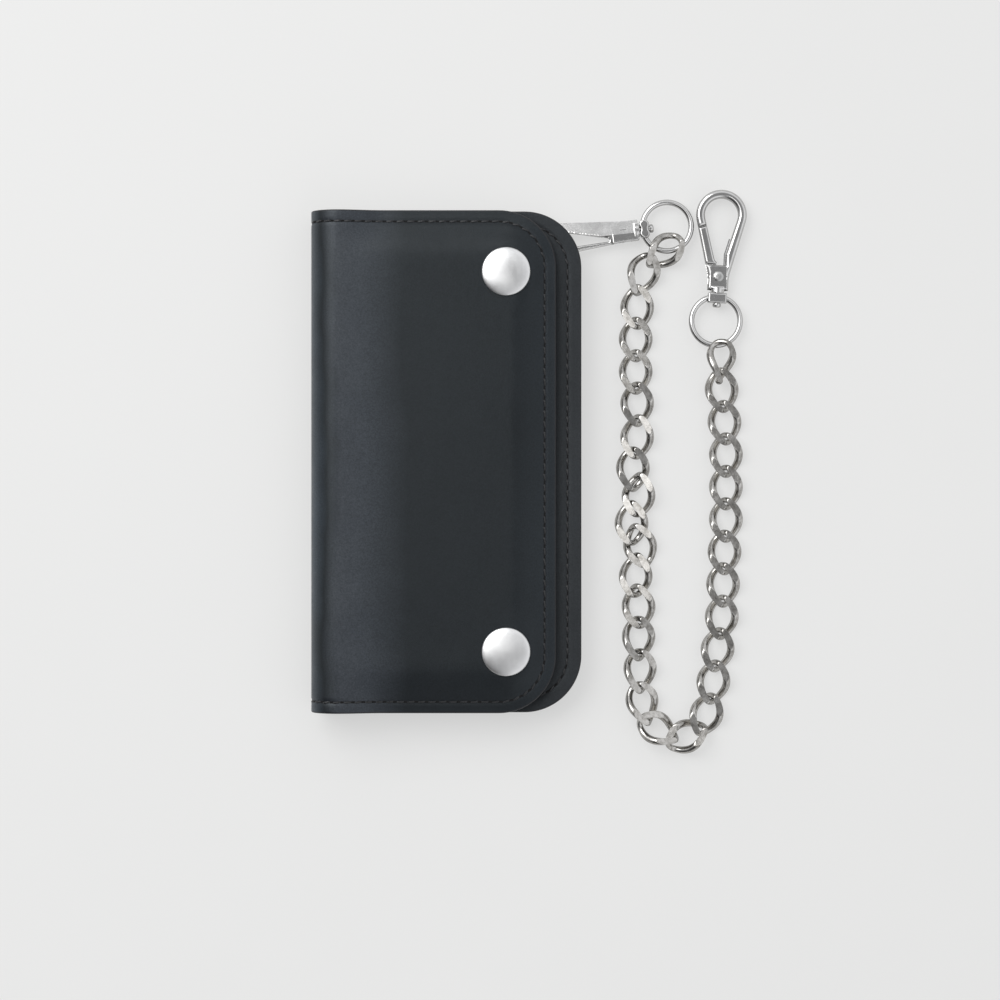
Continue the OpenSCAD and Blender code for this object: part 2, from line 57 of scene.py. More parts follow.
# The wallet
LENGTH = 176
HALF_LENGTH = LENGTH / 2
HEIGHT = 19
BACK_EDGE = 47.5
FRONT_EDGE = 38.5
CORNER_RADIUS = 20
COVER = 2.0
PANEL = 1.2
LINING = 0.6
FOLD_RADIUS = HEIGHT / 2
FOLD_X = FOLD_RADIUS - BACK_EDGE
BACK_TOP = 11.4
BACK_PANEL_Z = BACK_TOP - PANEL
BACK_RISE = BACK_PANEL_Z - LINING - COVER
DIVIDER_Z = (COVER + BACK_PANEL_Z - LINING) / 2
FRONT_PANEL_Z = 12.6
FRONT_PANEL_RISE = 2.0
FRONT_DROP = HEIGHT - COVER - FRONT_PANEL_Z - PANEL
BACK_REACH = 40
FRONT_REACH = 16
SNAP_X = 21
SNAP_Y = 66.3
ZIP_X = -12
ZIP_Z = BACK_PANEL_Z - 0.3
ZIP_LENGTH = 140
ZIP_OPENING = 10
SLIDER_Y = 64.5
STITCH_PITCH = 3.7
STITCH_INSET = 4.0
STRIP_STITCH_INSET = 4.9

# The hooks. near is the narrow end of the loop's hollow (x, y, radius), floor is how low the gate's mouth
# reaches, wire is the loop's thickness, and start is where the block begins.
WALLET_HOOK = {
    "name": "wallet_hook", "spot": (70, 82.5), "heading": 186.7, "length": 37.7, "width": 11.6,
    "near": (13.2, 2.3, 0.6), "floor": 1.0, "wire": 2.7, "start": 2.2, "framed": False,
}
FREE_HOOK = {
    "name": "free_hook", "spot": (95.8, 58.1), "heading": 87, "length": 38.4, "width": 17.9,
    "near": (14.4, 0.0, 1.8), "floor": -2.2, "wire": 3.1, "start": 2.7, "framed": True,
}
HOOK_Z = 2.8
HOOK_THICKNESS = 3.6
RING_OFFSET = 8.1
RING_RADIUS = 8.6
RING_WIRE = 2.0

# Each link of the chain as it lies: the x and y of its middle, its heading, its roll and its lift
LINKS = [
    (77, 74.5, -140, -20, 0.5), (69.5, 66.5, -110, -15, 0), (67.5, 55, -90, 5, 0),
    (67, 43.5, -90, 0, 0), (67, 32, -90, 0, 0), (67.5, 20.5, -90, -5, 0),
    (67.5, 9, -95, 5, 0), (66, -2.5, -90, -5, 0), (68, -11.5, -95, 10, 0),
    (65.5, -21.5, -90, 5, 0), (68.5, -29.5, -75, 5, 0), (67, -40, -95, 10, 0),
    (68, -51, -85, 5, 0), (68, -62.5, -90, -10, 0), (68.5, -74, -90, -15, 0),
    (69.5, -85.5, -75, -20, 0), (75, -94.5, -30, -20, 0), (85, -97, 25, -10, 0),
    (92, -89.5, 70, 0, 0), (94.5, -78, 80, 0, 0), (96, -66.5, 80, 0, 0),
    (97.5, -55, 85, 0, 0), (98, -43.5, 90, 0, 0), (98.5, -32, 90, 0, 0),
    (99, -20.5, 90, 0, 0), (99, -9, 90, 0, 0), (99, 2.5, 90, 0, 0),
    (98.5, 14, 95, 0, 0), (97.5, 25.5, 95, 0, 0), (97, 35.5, 85, 40, 0),
]
LINKS_IN_A_SEGMENT = 3


# ---- materials

# The colour sockets of a mix node
MIX_A, MIX_B, MIX_RESULT = 6, 7, 2


class Nodes:
    """A node tree, with short names for the few nodes that the materials and the room share."""

    def __init__(self, tree, place):
        self.tree = tree
        coordinates = tree.nodes.new("ShaderNodeTexCoord")
        self.place = coordinates.outputs[place]
        self.normal = coordinates.outputs["Normal"]

    def link(self, source, target):
        self.tree.links.new(source, target)

    def feed(self, value, socket):
        """Links another node's output, or sets a constant."""
        if isinstance(value, bpy.types.NodeSocket):
            self.link(value, socket)
        elif isinstance(value, tuple):
            socket.default_value = (*value, 1)[:len(socket.default_value)]
        else:
            socket.default_value = value

    def node(self, kind, **inputs):
        """A new node with the inputs of these names linked or set."""
        node = self.tree.nodes.new(kind)
        for name, value in inputs.items():
            self.feed(value, node.inputs[name])
        return node

    def noise(self, scale, detail=3, roughness=0.5, stretch=None):
        place = self.place
        if stretch:
            place = self.node("ShaderNodeMapping", Vector=place, Scale=stretch).outputs["Vector"]
        node = self.node("ShaderNodeTexNoise", Vector=place, Scale=scale, Detail=detail, Roughness=roughness)
        return node.outputs["Fac"]

    def cells(self, scale):
        """The distance to the borders of small cells."""
        node = self.node("ShaderNodeTexVoronoi", Vector=self.place, Scale=scale)
        node.feature = "DISTANCE_TO_EDGE"
        return node.outputs["Distance"]

    def split(self, vector):
        return self.node("ShaderNodeSeparateXYZ", Vector=vector).outputs

    def ramp(self, value, *stops):
        """A colour or grey for each (position, colour) stop."""
        node = self.node("ShaderNodeValToRGB", Fac=value)
        elements = node.color_ramp.elements
        while len(elements) < len(stops):
            elements.new(0.5)
        for element, (position, colour) in zip(elements, stops):
            element.position = position
            element.color = (*colour, 1) if isinstance(colour, tuple) else (colour, colour, colour, 1)
        return node.outputs["Color"]

    def mix(self, factor, a, b, mode="MIX"):
        node = self.node("ShaderNodeMix")
        node.data_type = "RGBA"
        node.blend_type = mode
        self.feed(factor, node.inputs["Factor"])
        self.feed(a, node.inputs[MIX_A])
        self.feed(b, node.inputs[MIX_B])
        return node.outputs[MIX_RESULT]

    def maths(self, operation, *values):
        node = self.node("ShaderNodeMath")
        node.operation = operation
        for value, socket in zip(values, node.inputs):
            self.feed(value, socket)
        return node.outputs[0]


class Material(Nodes):
    """A material under construction."""

    def __init__(self, name):
        self.material = bpy.data.materials.new(name)
        self.material.use_nodes = True
        super().__init__(self.material.node_tree, "Object")
        self.shader = self.tree.nodes["Principled BSDF"]

    def colour(self, source):
        self.link(source, self.shader.inputs["Base Color"])

    def roughness(self, source):
        self.link(source, self.shader.inputs["Roughness"])

    def bump(self, height, distance, strength):
        node = self.node("ShaderNodeBump", Height=height, Distance=distance, Strength=strength)
        self.link(node.outputs["Normal"], self.shader.inputs["Normal"])

    def set(self, **values):
        for name, value in values.items():
            self.shader.inputs[name.replace("_", " ")].default_value = value

    def patterned(self, pattern, colours, roughnesses, relief=None, stops=(0.3, 0.75)):
        """Colour, roughness and relief (distance, strength) that all follow one pattern."""
        self.colour(self.ramp(pattern, *zip(stops, colours)))
        self.roughness(self.ramp(pattern, *zip(stops, roughnesses)))
        if relief:
            self.bump(pattern, *relief)
        return self.material


# How much painted sheen and painted reflection brighten or darken the cover's colour, from 50 mm on the
# fold's side of the middle to 50 mm on the other
PAINTED_FOLD_SHEEN = (
    (0.02, 1.6), (0.07, 0.25), (0.12, (1.5, 1.28, 1.2)), (0.2, (1.35, 1.18, 1.12)),
    (0.36, 0.25), (0.72, 0.24), (1.0, 0.6),
)


def leather_material(name, dark, light, rough, grain=2600, grain_height=0.00005, painted_fold_sheen=False):
    """Smooth dyed leather: fine pores, cloudy dye, a few creases, and perhaps painted sheen and painted
    reflections in bands beside the fold.
    """
    nodes = Material(name)
    clouds = nodes.noise(35, 4, 0.6)
    dye = nodes.ramp(clouds, (0.3, dark), (0.75, light))
    pores = nodes.cells(grain)
    fibres = nodes.noise(grain * 0.7, 4, 0.65)
    speckle = nodes.ramp(fibres, (0.32, 0.62), (0.72, 1.3))
    colour = nodes.mix(1.0, dye, speckle, "MULTIPLY")
    # Painted sheen and painted reflection: bands across X multiply the colour, bright at the fold's rim, then
    # dark, bright again, and darker in the middle
    if painted_fold_sheen:
        drift = nodes.maths("MULTIPLY_ADD", nodes.noise(25, 2), 0.012, -0.006)
        shifted = nodes.maths("ADD", nodes.split(nodes.place)["X"], drift)
        share = nodes.maths("MULTIPLY_ADD", shifted, 10.0, 0.5)
        colour = nodes.mix(1.0, colour, nodes.ramp(share, *PAINTED_FOLD_SHEEN), "MULTIPLY")
    nodes.colour(colour)
    wear = nodes.noise(90, 5, 0.6)
    nodes.roughness(nodes.ramp(wear, (0.3, rough - 0.06), (0.75, rough + 0.08)))
    creases = nodes.noise(300, 6, 0.7, (1, 0.35, 1))
    height = nodes.maths("ADD", nodes.maths("MULTIPLY", pores, 0.9), nodes.maths("MULTIPLY", fibres, 0.6))
    nodes.bump(nodes.maths("ADD", height, nodes.maths("MULTIPLY", creases, 1.6)), grain_height, 0.8)
    nodes.set(Specular_Tint=(0.88, 0.96, 1.0, 1), Specular_IOR_Level=0.4)
    return nodes.material


def noisy_material(name, noise, colours, roughnesses, relief=None, stops=(0.3, 0.75)):
    """A surface whose colour, roughness and relief all follow one noise."""
    nodes = Material(name)
    return nodes.patterned(nodes.noise(*noise), colours, roughnesses, relief, stops)


def woven_material():
    """The zip's woven tape: two crossing sets of fine ribs."""
    nodes = Material("woven_tape")
    warp = nodes.noise(1400, 2, 0.5, (1, 0.25, 1))
    weft = nodes.noise(1400, 2, 0.5, (0.25, 1, 1))
    colours = (0.006, 0.006, 0.007), (0.03, 0.03, 0.033)
    weave = nodes.maths("MULTIPLY", warp, weft)
    return nodes.patterned(weave, colours, (0.75, 0.92), (0.0002, 0.9), (0.12, 0.45))


def metal_material(name, dark, light, smooth, rough, scratch=0.4, tarnish=0.0, sides=1.0):
    """Nickel plate: cloudy wear, fine scratches, a film of tarnish where it is old, and painted shade where
    it faces sideways.
    """
    nodes = Material(name)
    clouds = nodes.noise(160, 5, 0.6)
    colour = nodes.ramp(clouds, (0.3, dark), (0.7, light))
    if tarnish:
        film = nodes.ramp(nodes.noise(420, 5, 0.7), (0.42, 0.0), (0.72, tarnish))
        colour = nodes.mix(film, colour, (0.13, 0.115, 0.095))
    # Painted shade: the colour is multiplied by sides where the surface faces sideways, rising to 1 where it
    # faces up or down
    if sides < 1:
        facing_up = nodes.maths("ABSOLUTE", nodes.split(nodes.normal)["Z"])
        side_shade = nodes.ramp(facing_up, (0.12, sides), (0.6, 0.5 + 0.5 * sides), (0.82, 1.0))
        colour = nodes.mix(1.0, colour, side_shade, "MULTIPLY")
    nodes.colour(colour)
    scratches = nodes.noise(900, 6, 0.75, (1, 0.08, 1))
    wear = nodes.mix(0.5, nodes.ramp(clouds, (0.3, smooth), (0.75, rough)),
                     nodes.ramp(scratches, (0.35, smooth), (0.7, rough)))
    nodes.roughness(wear)
    nodes.bump(scratches, 0.00002, scratch)
    nodes.set(Metallic=1.0)
    return nodes.material


LEATHER = leather_material("cover_leather", (0.022, 0.029, 0.038), (0.031, 0.040, 0.050), 0.4, painted_fold_sheen=True)
INNER_LEATHER = leather_material("inner_leather", (0.013, 0.014, 0.016), (0.022, 0.024, 0.027), 0.52)
LINING_LEATHER = leather_material("lining_leather", (0.010, 0.010, 0.011), (0.017, 0.017, 0.019), 0.6,
                                  grain=1800, grain_height=0.00006)
# A burnished, painted leather edge
EDGE = noisy_material("burnished_edge", (500, 4, 0.6, (1, 1, 6)),
                      ((0.006, 0.006, 0.008), (0.018, 0.019, 0.022)), (0.38, 0.55), (0.00006, 0.7))
# The suede inner side of the leather
FLESH = noisy_material("leather_flesh", (1800, 6, 0.75),
                       ((0.010, 0.010, 0.011), (0.032, 0.031, 0.032)), (0.85, 0.95), (0.00012, 0.8))
# Waxed black thread with its twist
THREAD = noisy_material("waxed_thread", (2200, 3, 0.6),
                        ((0.006, 0.006, 0.007), (0.028, 0.029, 0.032)), (0.32, 0.5), (0.00012, 0.9))
# Painted shade in a stitch hole: a near-black surface for the shadow inside it
HOLE_SHADE = noisy_material("stitch_hole", (3000, 3, 0.6),
                      ((0.001, 0.001, 0.001), (0.006, 0.006, 0.007)), (0.9, 1.0), stops=(0.3, 0.8))
TAPE = woven_material()
CAP_METAL = metal_material("worn_nickel_cap", (0.82, 0.82, 0.82), (0.93, 0.93, 0.93), 0.26, 0.42, 0.1)
SNAP_METAL = metal_material("snap_nickel", (0.55, 0.55, 0.54), (0.7, 0.7, 0.69), 0.22, 0.4, 0.3)
CHAIN_METAL = metal_material("chain_nickel", (0.56, 0.545, 0.515), (0.80, 0.78, 0.75), 0.1, 0.26, 0.5,
                             tarnish=0.7, sides=0.36)
HOOK_METAL = metal_material("hook_nickel", (0.74, 0.73, 0.72), (0.86, 0.855, 0.84), 0.05, 0.14, 0.2,
                            tarnish=0.12, sides=0.3)
ZIP_METAL = metal_material("zip_nickel", (0.5, 0.5, 0.49), (0.68, 0.67, 0.66), 0.18, 0.36, 0.4, 0.2)


# ---- mesh helpers

def mesh_object(name, points, faces, materials, kinds=None, sharp=40):
    """An object from points in millimetres. kinds gives each face its place in materials."""
    mesh = bpy.data.meshes.new(name)
    metres = [tuple(MM * float(c) for c in point) for point in points]
    mesh.from_pydata(metres, [], [tuple(map(int, face)) for face in faces])
    for material in materials:
        mesh.materials.append(material)
    if kinds is not None:
        mesh.polygons.foreach_set("material_index", list(kinds))
    solid = bmesh.new()
    solid.from_mesh(mesh)
    bmesh.ops.remove_doubles(solid, verts=solid.verts, dist=1e-7)
    bmesh.ops.recalc_face_normals(solid, faces=solid.faces)
    solid.to_mesh(mesh)
    solid.free()
    mesh.shade_smooth()
    mesh.set_sharp_from_angle(angle=math.radians(sharp))
    thing = bpy.data.objects.new(name, mesh)
    bpy.context.scene.collection.objects.link(thing)
    return thing


def merged(parts):
    """One list of points and one of faces from several."""
    points = []
    faces = []
    for part_points, part_faces in parts:
        start = len(points)
        points.extend(part_points)
        faces.extend(tuple(start + k for k in face) for face in part_faces)
    return points, faces


def finished(thing, body, slot, *nodes):
    """A piece that moves with a CAD body and stands for CAD nodes."""
    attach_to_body(thing, body)
    if nodes:
        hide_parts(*nodes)


def piece(name, mesh, material, body, slot, node, sharp=40):
    """A piece of one material that stands for one CAD node."""
    finished(mesh_object(name, *mesh, [material], sharp=sharp), body, slot, node)


def unit(v):
    return v / np.linalg.norm(v)


def circle(count):
    """The cosine and sine of each of a count of even turns."""
    turns = [2 * math.pi * k / count for k in range(count)]
    return [(math.cos(turn), math.sin(turn)) for turn in turns]


def tube_faces(rings, sides, closed=False):
    """The wall of a tube made of rings of points, and its two ends unless it closes on itself."""
    faces = []
    for i in range(rings if closed else rings - 1):
        here = i * sides
        there = (i + 1) % rings * sides
        for j in range(sides):
            after = (j + 1) % sides
            faces.append((here + j, here + after, there + after, there + j))
    if not closed:
        faces.append(tuple(range(sides - 1, -1, -1)))
        faces.append(tuple((rings - 1) * sides + j for j in range(sides)))
    return faces


def lathe(profile, segments=64, centre=(0, 0, 0)):
    """A closed solid turned about Z from (radius, z) points, the first and the last on the axis."""
    x, y, z = centre
    points = [(x, y, z + profile[0][1])]
    for radius, height in profile[1:-1]:
        points += [(x + radius * c, y + radius * s, z + height) for c, s in circle(segments)]
    points.append((x, y, z + profile[-1][1]))
    rings = len(profile) - 2
    last = len(points) - 1
    faces = []
    for k in range(segments):
        after = (k + 1) % segments
        faces.append((0, 1 + after, 1 + k))
        for ring in range(rings - 1):
            a = 1 + ring * segments
            b = a + segments
            faces.append((a + k, a + after, b + after, b + k))
        top = 1 + (rings - 1) * segments
        faces.append((top + k, top + after, last))
    return points, faces


SETTLING_ROUNDS = 6
LEAST_SLOPE = 0.05
CELL_REACH = 0.6


def carve(shape, low, high, cell):
    """The surface where shape(x, y, z) is 0: a point in each cell that it crosses, and quads between them."""
    axes = [np.arange(a - cell, b + 2 * cell, cell) for a, b in zip(low, high)]
    grid = np.meshgrid(*axes, indexing="ij")
    inside = shape(*grid) < 0
    corners = [inside[i:i + inside.shape[0] - 1, j:j + inside.shape[1] - 1, k:k + inside.shape[2] - 1]
               for i in (0, 1) for j in (0, 1) for k in (0, 1)]
    count = np.sum(corners, axis=0)
    crossed = np.argwhere((count > 0) & (count < len(corners)))
    index = np.full(count.shape, -1)
    index[tuple(crossed.T)] = np.arange(len(crossed))
    middle = np.array([axes[a][crossed[:, a]] + cell / 2 for a in range(3)]).T
    points = middle.copy()
    step = cell * 0.1
    for _ in range(SETTLING_ROUNDS):
        value = shape(*points.T)
        rises = [shape(*(points + probe).T) - shape(*(points - probe).T) for probe in step * np.eye(3)]
        slope = np.array(rises).T / (2 * step)
        points -= slope * (value / np.maximum((slope ** 2).sum(1), LEAST_SLOPE))[:, None]
        points = np.clip(points, middle - CELL_REACH * cell, middle + CELL_REACH * cell)
    faces = []
    for axis in range(3):
        first = np.moveaxis(inside, axis, 0)
        ids = np.moveaxis(index, axis, 0)
        change = first[1:, 1:-1, 1:-1] != first[:-1, 1:-1, 1:-1]
        i, j, k = np.nonzero(change)
        faces.append(np.array([ids[i, j, k], ids[i, j + 1, k], ids[i, j + 1, k + 1], ids[i, j, k + 1]]).T)
    faces = np.concatenate(faces)
    return points, faces[(faces >= 0).all(1)]


def overlap(*fields):
    """What all the fields have in common."""
    return functools.reduce(np.maximum, fields)


def union(*fields):
    """All the fields together."""
    return functools.reduce(np.minimum, fields)


def blended(a, b, width):
    """The union of two fields, with a fillet."""
    h = np.clip(0.5 + 0.5 * (b - a) / width, 0, 1)
    return b * (1 - h) + a * h - width * h * (1 - h)


def box_field(x, y, z, middle, half, radius=0.0):
    """The distance to a rounded box."""
    q = [np.abs(p - m) - (h - radius) for p, m, h in zip((x, y, z), middle, half)]
    outside = np.sqrt(sum(np.maximum(a, 0) ** 2 for a in q))
    return outside + np.minimum(overlap(*q), 0) - radius


def rounded_box(low, high, radius, cell):
    """A box with rounded edges."""
    low = np.array(low, float)
    high = np.array(high, float)
    middle = (low + high) / 2
    half = (high - low) / 2
    return carve(lambda x, y, z: box_field(x, y, z, middle, half, radius), low, high, cell)


def turned(points, heading, spot, z=0):
    """Points turned about Z by a heading in degrees, then moved."""
    a = math.radians(heading)
    c, s = math.cos(a), math.sin(a)
    points = np.asarray(points, float)
    return np.array([
        spot[0] + c * points[:, 0] - s * points[:, 1],
        spot[1] + s * points[:, 0] + c * points[:, 1],
        z + points[:, 2],
    ]).T


# ---- leather sheets

def eased(t):
    """A smooth step from 0 to 1."""
    t = np.clip(t, 0, 1)
    return t * t * (3 - 2 * t)


def rise(x, y, edge_x, reach):
    """0 in a half's flat middle, 1 along its stitched edges, and 0 beside the fold."""
    across = eased((x - edge_x + reach) / reach)
    along = eased((abs(y) - HALF_LENGTH + reach) / reach) * eased((x - FOLD_X) / reach)
    return 1 - (1 - across) * (1 - along)


# How far inside the outline each ring of a rounded edge lies, and how deep under the leather's face
EDGE_ROUND = 0.45
EDGE_RINGS = [(0.2, 0.09), (0.06, 0.24), (0.0, EDGE_ROUND)]
# How far inside the rounded edge the rows of points lie, close together where the seam is
END_STEPS = [0, 0.55, 1.1, 1.65, 2.2, 2.75, 3.3, 3.85, 4.4, 4.95, 5.5, 6.2, 7.2, 8.6, 10.4, 13, 15.55]
MIDDLE_ROWS = 44
CORNER_STEPS = 30
BEND_STEPS = 22
FLAT_STEP = 2.4
SEAM_STEPS = 200
GRAIN, RIM, INSIDE = 0, 1, 2
GROOVE_DEPTH = 0.28
GROOVE_WIDTH = 0.75
HOLE_HALF = 0.76
THREAD_RADIUS = 0.36
# Half a thread's length as a share of the pitch, how high its middle stands, and how far its ends dive
THREAD_SHARE = 0.42
THREAD_LIFT = 0.14
THREAD_DIVE = 0.42
# How many degrees each thread lies askew, and how much more or less from one to the next
THREAD_SLANT = 7
SLANT_CHANGE = 3
# How far from the seam the leather is looked at to find which way its face looks
FACE_STEP = 0.6


class Sheet:
    """A leather layer over one half of the wallet, with rounded edges and perhaps half of the fold's bend.

    face(x, y) is the height of its grain side. up is 1 where that side looks up and -1 where it looks down.
    A station is a column of points: at an angle of the bend, at an x of the flat part, or at an angle of the
    round corners. groove is the inset of the seam, and opening is (low x, high x, half length).
    """

    def __init__(self, edge_x, start_x, face, up, thickness, bend=None, groove=None, opening=None):
        self.edge_x = edge_x
        self.start_x = start_x
        self.face = face
        self.up = up
        self.thickness = thickness
        self.bend = bend
        self.groove = groove
        self.opening = opening
        flat_end = edge_x - CORNER_RADIUS
        xs = np.linspace(start_x, flat_end, int((flat_end - start_x) / FLAT_STEP) + 1)
        if opening:
            apart = np.abs(xs[:, None] - opening[:2]).min(1) > FLAT_STEP / 3
            xs = np.unique(np.concatenate([xs[apart], opening[:2]]))
        self.stations = []
        if bend:
            self.stations += [("bend", a) for a in np.linspace(bend[0], bend[1], BEND_STEPS)[:-1]]
        self.stations += [("flat", x) for x in xs]
        self.stations += [("corner", a) for a in np.linspace(0, math.pi / 2, CORNER_STEPS + 1)[1:]]

    def across(self, station, inset):
        """A station's x and its half width, at an inset from the outline."""
        kind, value = station
        if kind == "corner":
            reach = CORNER_RADIUS - inset
            middle = self.edge_x - CORNER_RADIUS
            return middle + reach * math.sin(value), HALF_LENGTH - CORNER_RADIUS + reach * math.cos(value)
        if kind == "flat" and value == self.start_x and not self.bend:
            return value + inset, HALF_LENGTH - inset
        return value, HALF_LENGTH - inset

    def inset_of(self, x, y):
        """The distance from the outline of a point of the sheet."""
        past_x = x - (self.edge_x - CORNER_RADIUS)
        past_y = abs(y) - (HALF_LENGTH - CORNER_RADIUS)
        if past_x > 0 and past_y > 0:
            return CORNER_RADIUS - math.hypot(past_x, past_y)
        return CORNER_RADIUS - max(past_x, past_y)

    def on_face(self, station, x, y, depth):
        """The point at a depth under the grain side of a station, at an x on the flat part or the corners."""
        kind, value = station
        if kind == "bend":
            radius = FOLD_RADIUS - depth
            return FOLD_X + radius * math.cos(value), y, FOLD_RADIUS + radius * math.sin(value)
        return x, y, self.face(x, y) - self.up * depth

    def point(self, station, y, depth=0.0, inset=EDGE_ROUND):
        """The point at a depth under the grain side. The thread presses a groove along the seam."""
        x, _ = self.across(station, inset)
        if self.groove and depth < self.thickness / 2:
            along = FOLD_X if station[0] == "bend" else x
            away = self.inset_of(along, y) - self.groove
            depth += GROOVE_DEPTH * math.exp(-(away / GROOVE_WIDTH) ** 2) * (1 - 2 * depth / self.thickness)
        return self.on_face(station, x, y, depth)

    def rows(self, station, inset=EDGE_ROUND):
        """The y of each point of a station."""
        half = self.across(station, inset)[1]
        ends = half - np.array(END_STEPS)
        middle = np.linspace(-ends[-1], ends[-1], MIDDLE_ROWS)[1:-1]
        return np.concatenate([-ends, middle, ends[::-1]])

    def mesh(self):
        """Points, faces and the kind of each face."""
        count = len(self.stations)
        rows = [self.rows(s) for s in self.stations]
        across = len(rows[0])
        places = [(s, y) for s, ys in zip(self.stations, rows) for y in ys]
        flesh = len(places)
        points = [self.point(s, y) for s, y in places]
        points += [self.point(s, y, self.thickness) for s, y in places]
        faces = []
        kinds = []
        edges = []
        for i in range(count - 1):
            for j in range(across - 1):
                if self.opening and self.in_opening(self.stations[i], self.stations[i + 1], rows[i][j:j + 2]):
                    continue
                a = i * across + j
                quad = (a, a + 1, a + across + 1, a + across)
                edges += zip(quad, quad[1:] + quad[:1])
                faces.append(quad)
                faces.append(tuple(flesh + k for k in reversed(quad)))
                kinds += [GRAIN, INSIDE]
        loop = [(i, 0) for i in range(count)]
        loop += [(count - 1, j) for j in range(1, across - 1)]
        loop += [(i, across - 1) for i in range(count - 1, -1, -1)]
        loop += [(0, j) for j in range(across - 2, 0, -1)]
        rings = [[i * across + j for i, j in loop]]
        outer = set(rings[0])
        known = set(edges)
        for a, b in edges:
            if (b, a) not in known and not (a in outer and b in outer):
                faces.append((b, a, flesh + a, flesh + b))
                kinds.append(RIM)
        levels = EDGE_RINGS + [(inset, self.thickness - depth) for inset, depth in reversed(EDGE_RINGS)]
        for inset, depth in levels:
            rings.append([])
            for i, j in loop:
                station = self.stations[i]
                y = rows[i][j]
                if j in (0, across - 1):
                    y = math.copysign(self.across(station, inset)[1], y)
                rings[-1].append(len(points))
                points.append(self.point(station, y, depth, inset))
        rings.append([flesh + k for k in rings[0]])
        for upper, lower in zip(rings, rings[1:]):
            for k in range(len(loop)):
                after = (k + 1) % len(loop)
                faces.append((upper[k], upper[after], lower[after], lower[k]))
                kinds.append(RIM)
        return points, faces, kinds

    def in_opening(self, left, right, ends):
        """Whether a cell between two stations and two rows lies in the opening."""
        low_x, high_x, half_length = self.opening
        slack = 0.01
        return (left[0] == "flat" and left[1] >= low_x - slack and right[1] <= high_x + slack
                and np.abs(ends).max() <= half_length + slack)

    def build(self, name, grain):
        points, faces, kinds = self.mesh()
        return mesh_object(name, points, faces, [grain, EDGE, FLESH], kinds, 50)

    def seam(self, inset):
        """Stations and y at an inset from the outline, from one end of the fold to the other."""
        path = [(station, self.across(station, inset)[1]) for station in self.stations]
        far = path[-1][1]
        straight = [(self.stations[-1], y) for y in np.linspace(far, -far, SEAM_STEPS)[1:-1]]
        return path + straight + [(station, -y) for station, y in reversed(path)]

    def stitches(self):
        """Threads along the groove and the holes between them, a pitch apart."""
        path = self.seam(self.groove)
        spots = np.array([self.point(s, y, 0, self.groove) for s, y in path])
        inner = np.array([self.inward(s, y, self.groove) for s, y in path])
        length = np.concatenate([[0], np.cumsum(np.linalg.norm(np.diff(spots, axis=0), axis=1))])

        def at(distance, line):
            return np.array([np.interp(distance, length, line[:, a]) for a in range(3)])

        count = int(length[-1] / STITCH_PITCH)
        margin = (length[-1] - count * STITCH_PITCH) / 2
        threads = []
        holes = []
        for k in range(count + 1):
            here = margin + k * STITCH_PITCH
            middle = at(here, spots)
            along = unit(at(here + 1, spots) - at(here - 1, spots))
            normal = unit(np.cross(along, at(here, inner) - middle))
            normal *= 1 if self.outward(middle, normal) else -1
            side = np.cross(normal, along)
            holes.append(stitch_hole(middle, along, side, normal))
            if k < count:
                threads.append(thread(at(here + STITCH_PITCH / 2, spots), along, side, normal, k))
        return merged(threads), merged(holes)

    def inward(self, station, y, inset):
        """A point a little further from the outline than the seam, as deep as the groove."""
        x, half = self.across(station, inset + FACE_STEP)
        if station != self.stations[-1]:
            y = math.copysign(half, y)
        return self.on_face(station, x, y, GROOVE_DEPTH)

    def outward(self, spot, normal):
        """Whether a direction points away from the leather at a spot on its grain side."""
        if spot[0] < FOLD_X:
            return (spot[0] - FOLD_X) * normal[0] + (spot[2] - FOLD_RADIUS) * normal[2] > 0
        return normal[2] * self.up > 0


def stitch_hole(spot, along, side, normal):
    """A small dent, painted near-black for the shade inside the hole, that sits just over the groove."""
    sides = 10
    points = [spot + 0.05 * normal]
    for height in (0.07, -0.3):
        for c, s in circle(sides):
            points.append(spot + HOLE_HALF * (c * along + 0.7 * s * side) + height * normal)
    faces = [(0, 1 + k, 1 + (k + 1) % sides) for k in range(sides)]
    faces += [(1 + k, 1 + sides + k, 1 + sides + (k + 1) % sides, 1 + (k + 1) % sides) for k in range(sides)]
    faces.append(tuple(range(2 * sides, sides, -1)))
    return points, faces


def thread(spot, along, side, normal, number):
    """One stitch: a short thick thread whose ends dive into their holes, each lying a little askew."""
    rings = 9
    sides = 8
    half = THREAD_SHARE * STITCH_PITCH
    slant = math.radians(THREAD_SLANT + SLANT_CHANGE * math.sin(number * 2.4))
    run = along * math.cos(slant) + side * math.sin(slant)
    width = side * math.cos(slant) - along * math.sin(slant)
    points = []
    for t in np.linspace(-1, 1, rings):
        radius = THREAD_RADIUS * math.sqrt(max(0.06, 1 - t ** 4))
        middle = spot + run * half * t + normal * (THREAD_LIFT - THREAD_DIVE * t ** 4)
        points += [middle + radius * (c * width + 0.8 * s * normal) for c, s in circle(sides)]
    return points, tube_faces(rings, sides)


# ---- the wallet's leather

# The leather is pressed flat up to the first distance from a snap's middle, and eases up over the second
SNAP_FLAT = 8.2
SNAP_EASING = 5


def near_snap(x, y):
    """1 under a snap cap, easing to 0 beside it."""
    away = np.hypot(x - SNAP_X, abs(y) - SNAP_Y)
    return 1 - eased((away - SNAP_FLAT) / SNAP_EASING)


def front_rise(x, y):
    """The front cover's rise, pressed flat under its caps."""
    return rise(x, y, FRONT_EDGE, FRONT_REACH) * (1 - near_snap(x, y))


def back_rise(x, y):
    return rise(x, y, BACK_EDGE, BACK_REACH)


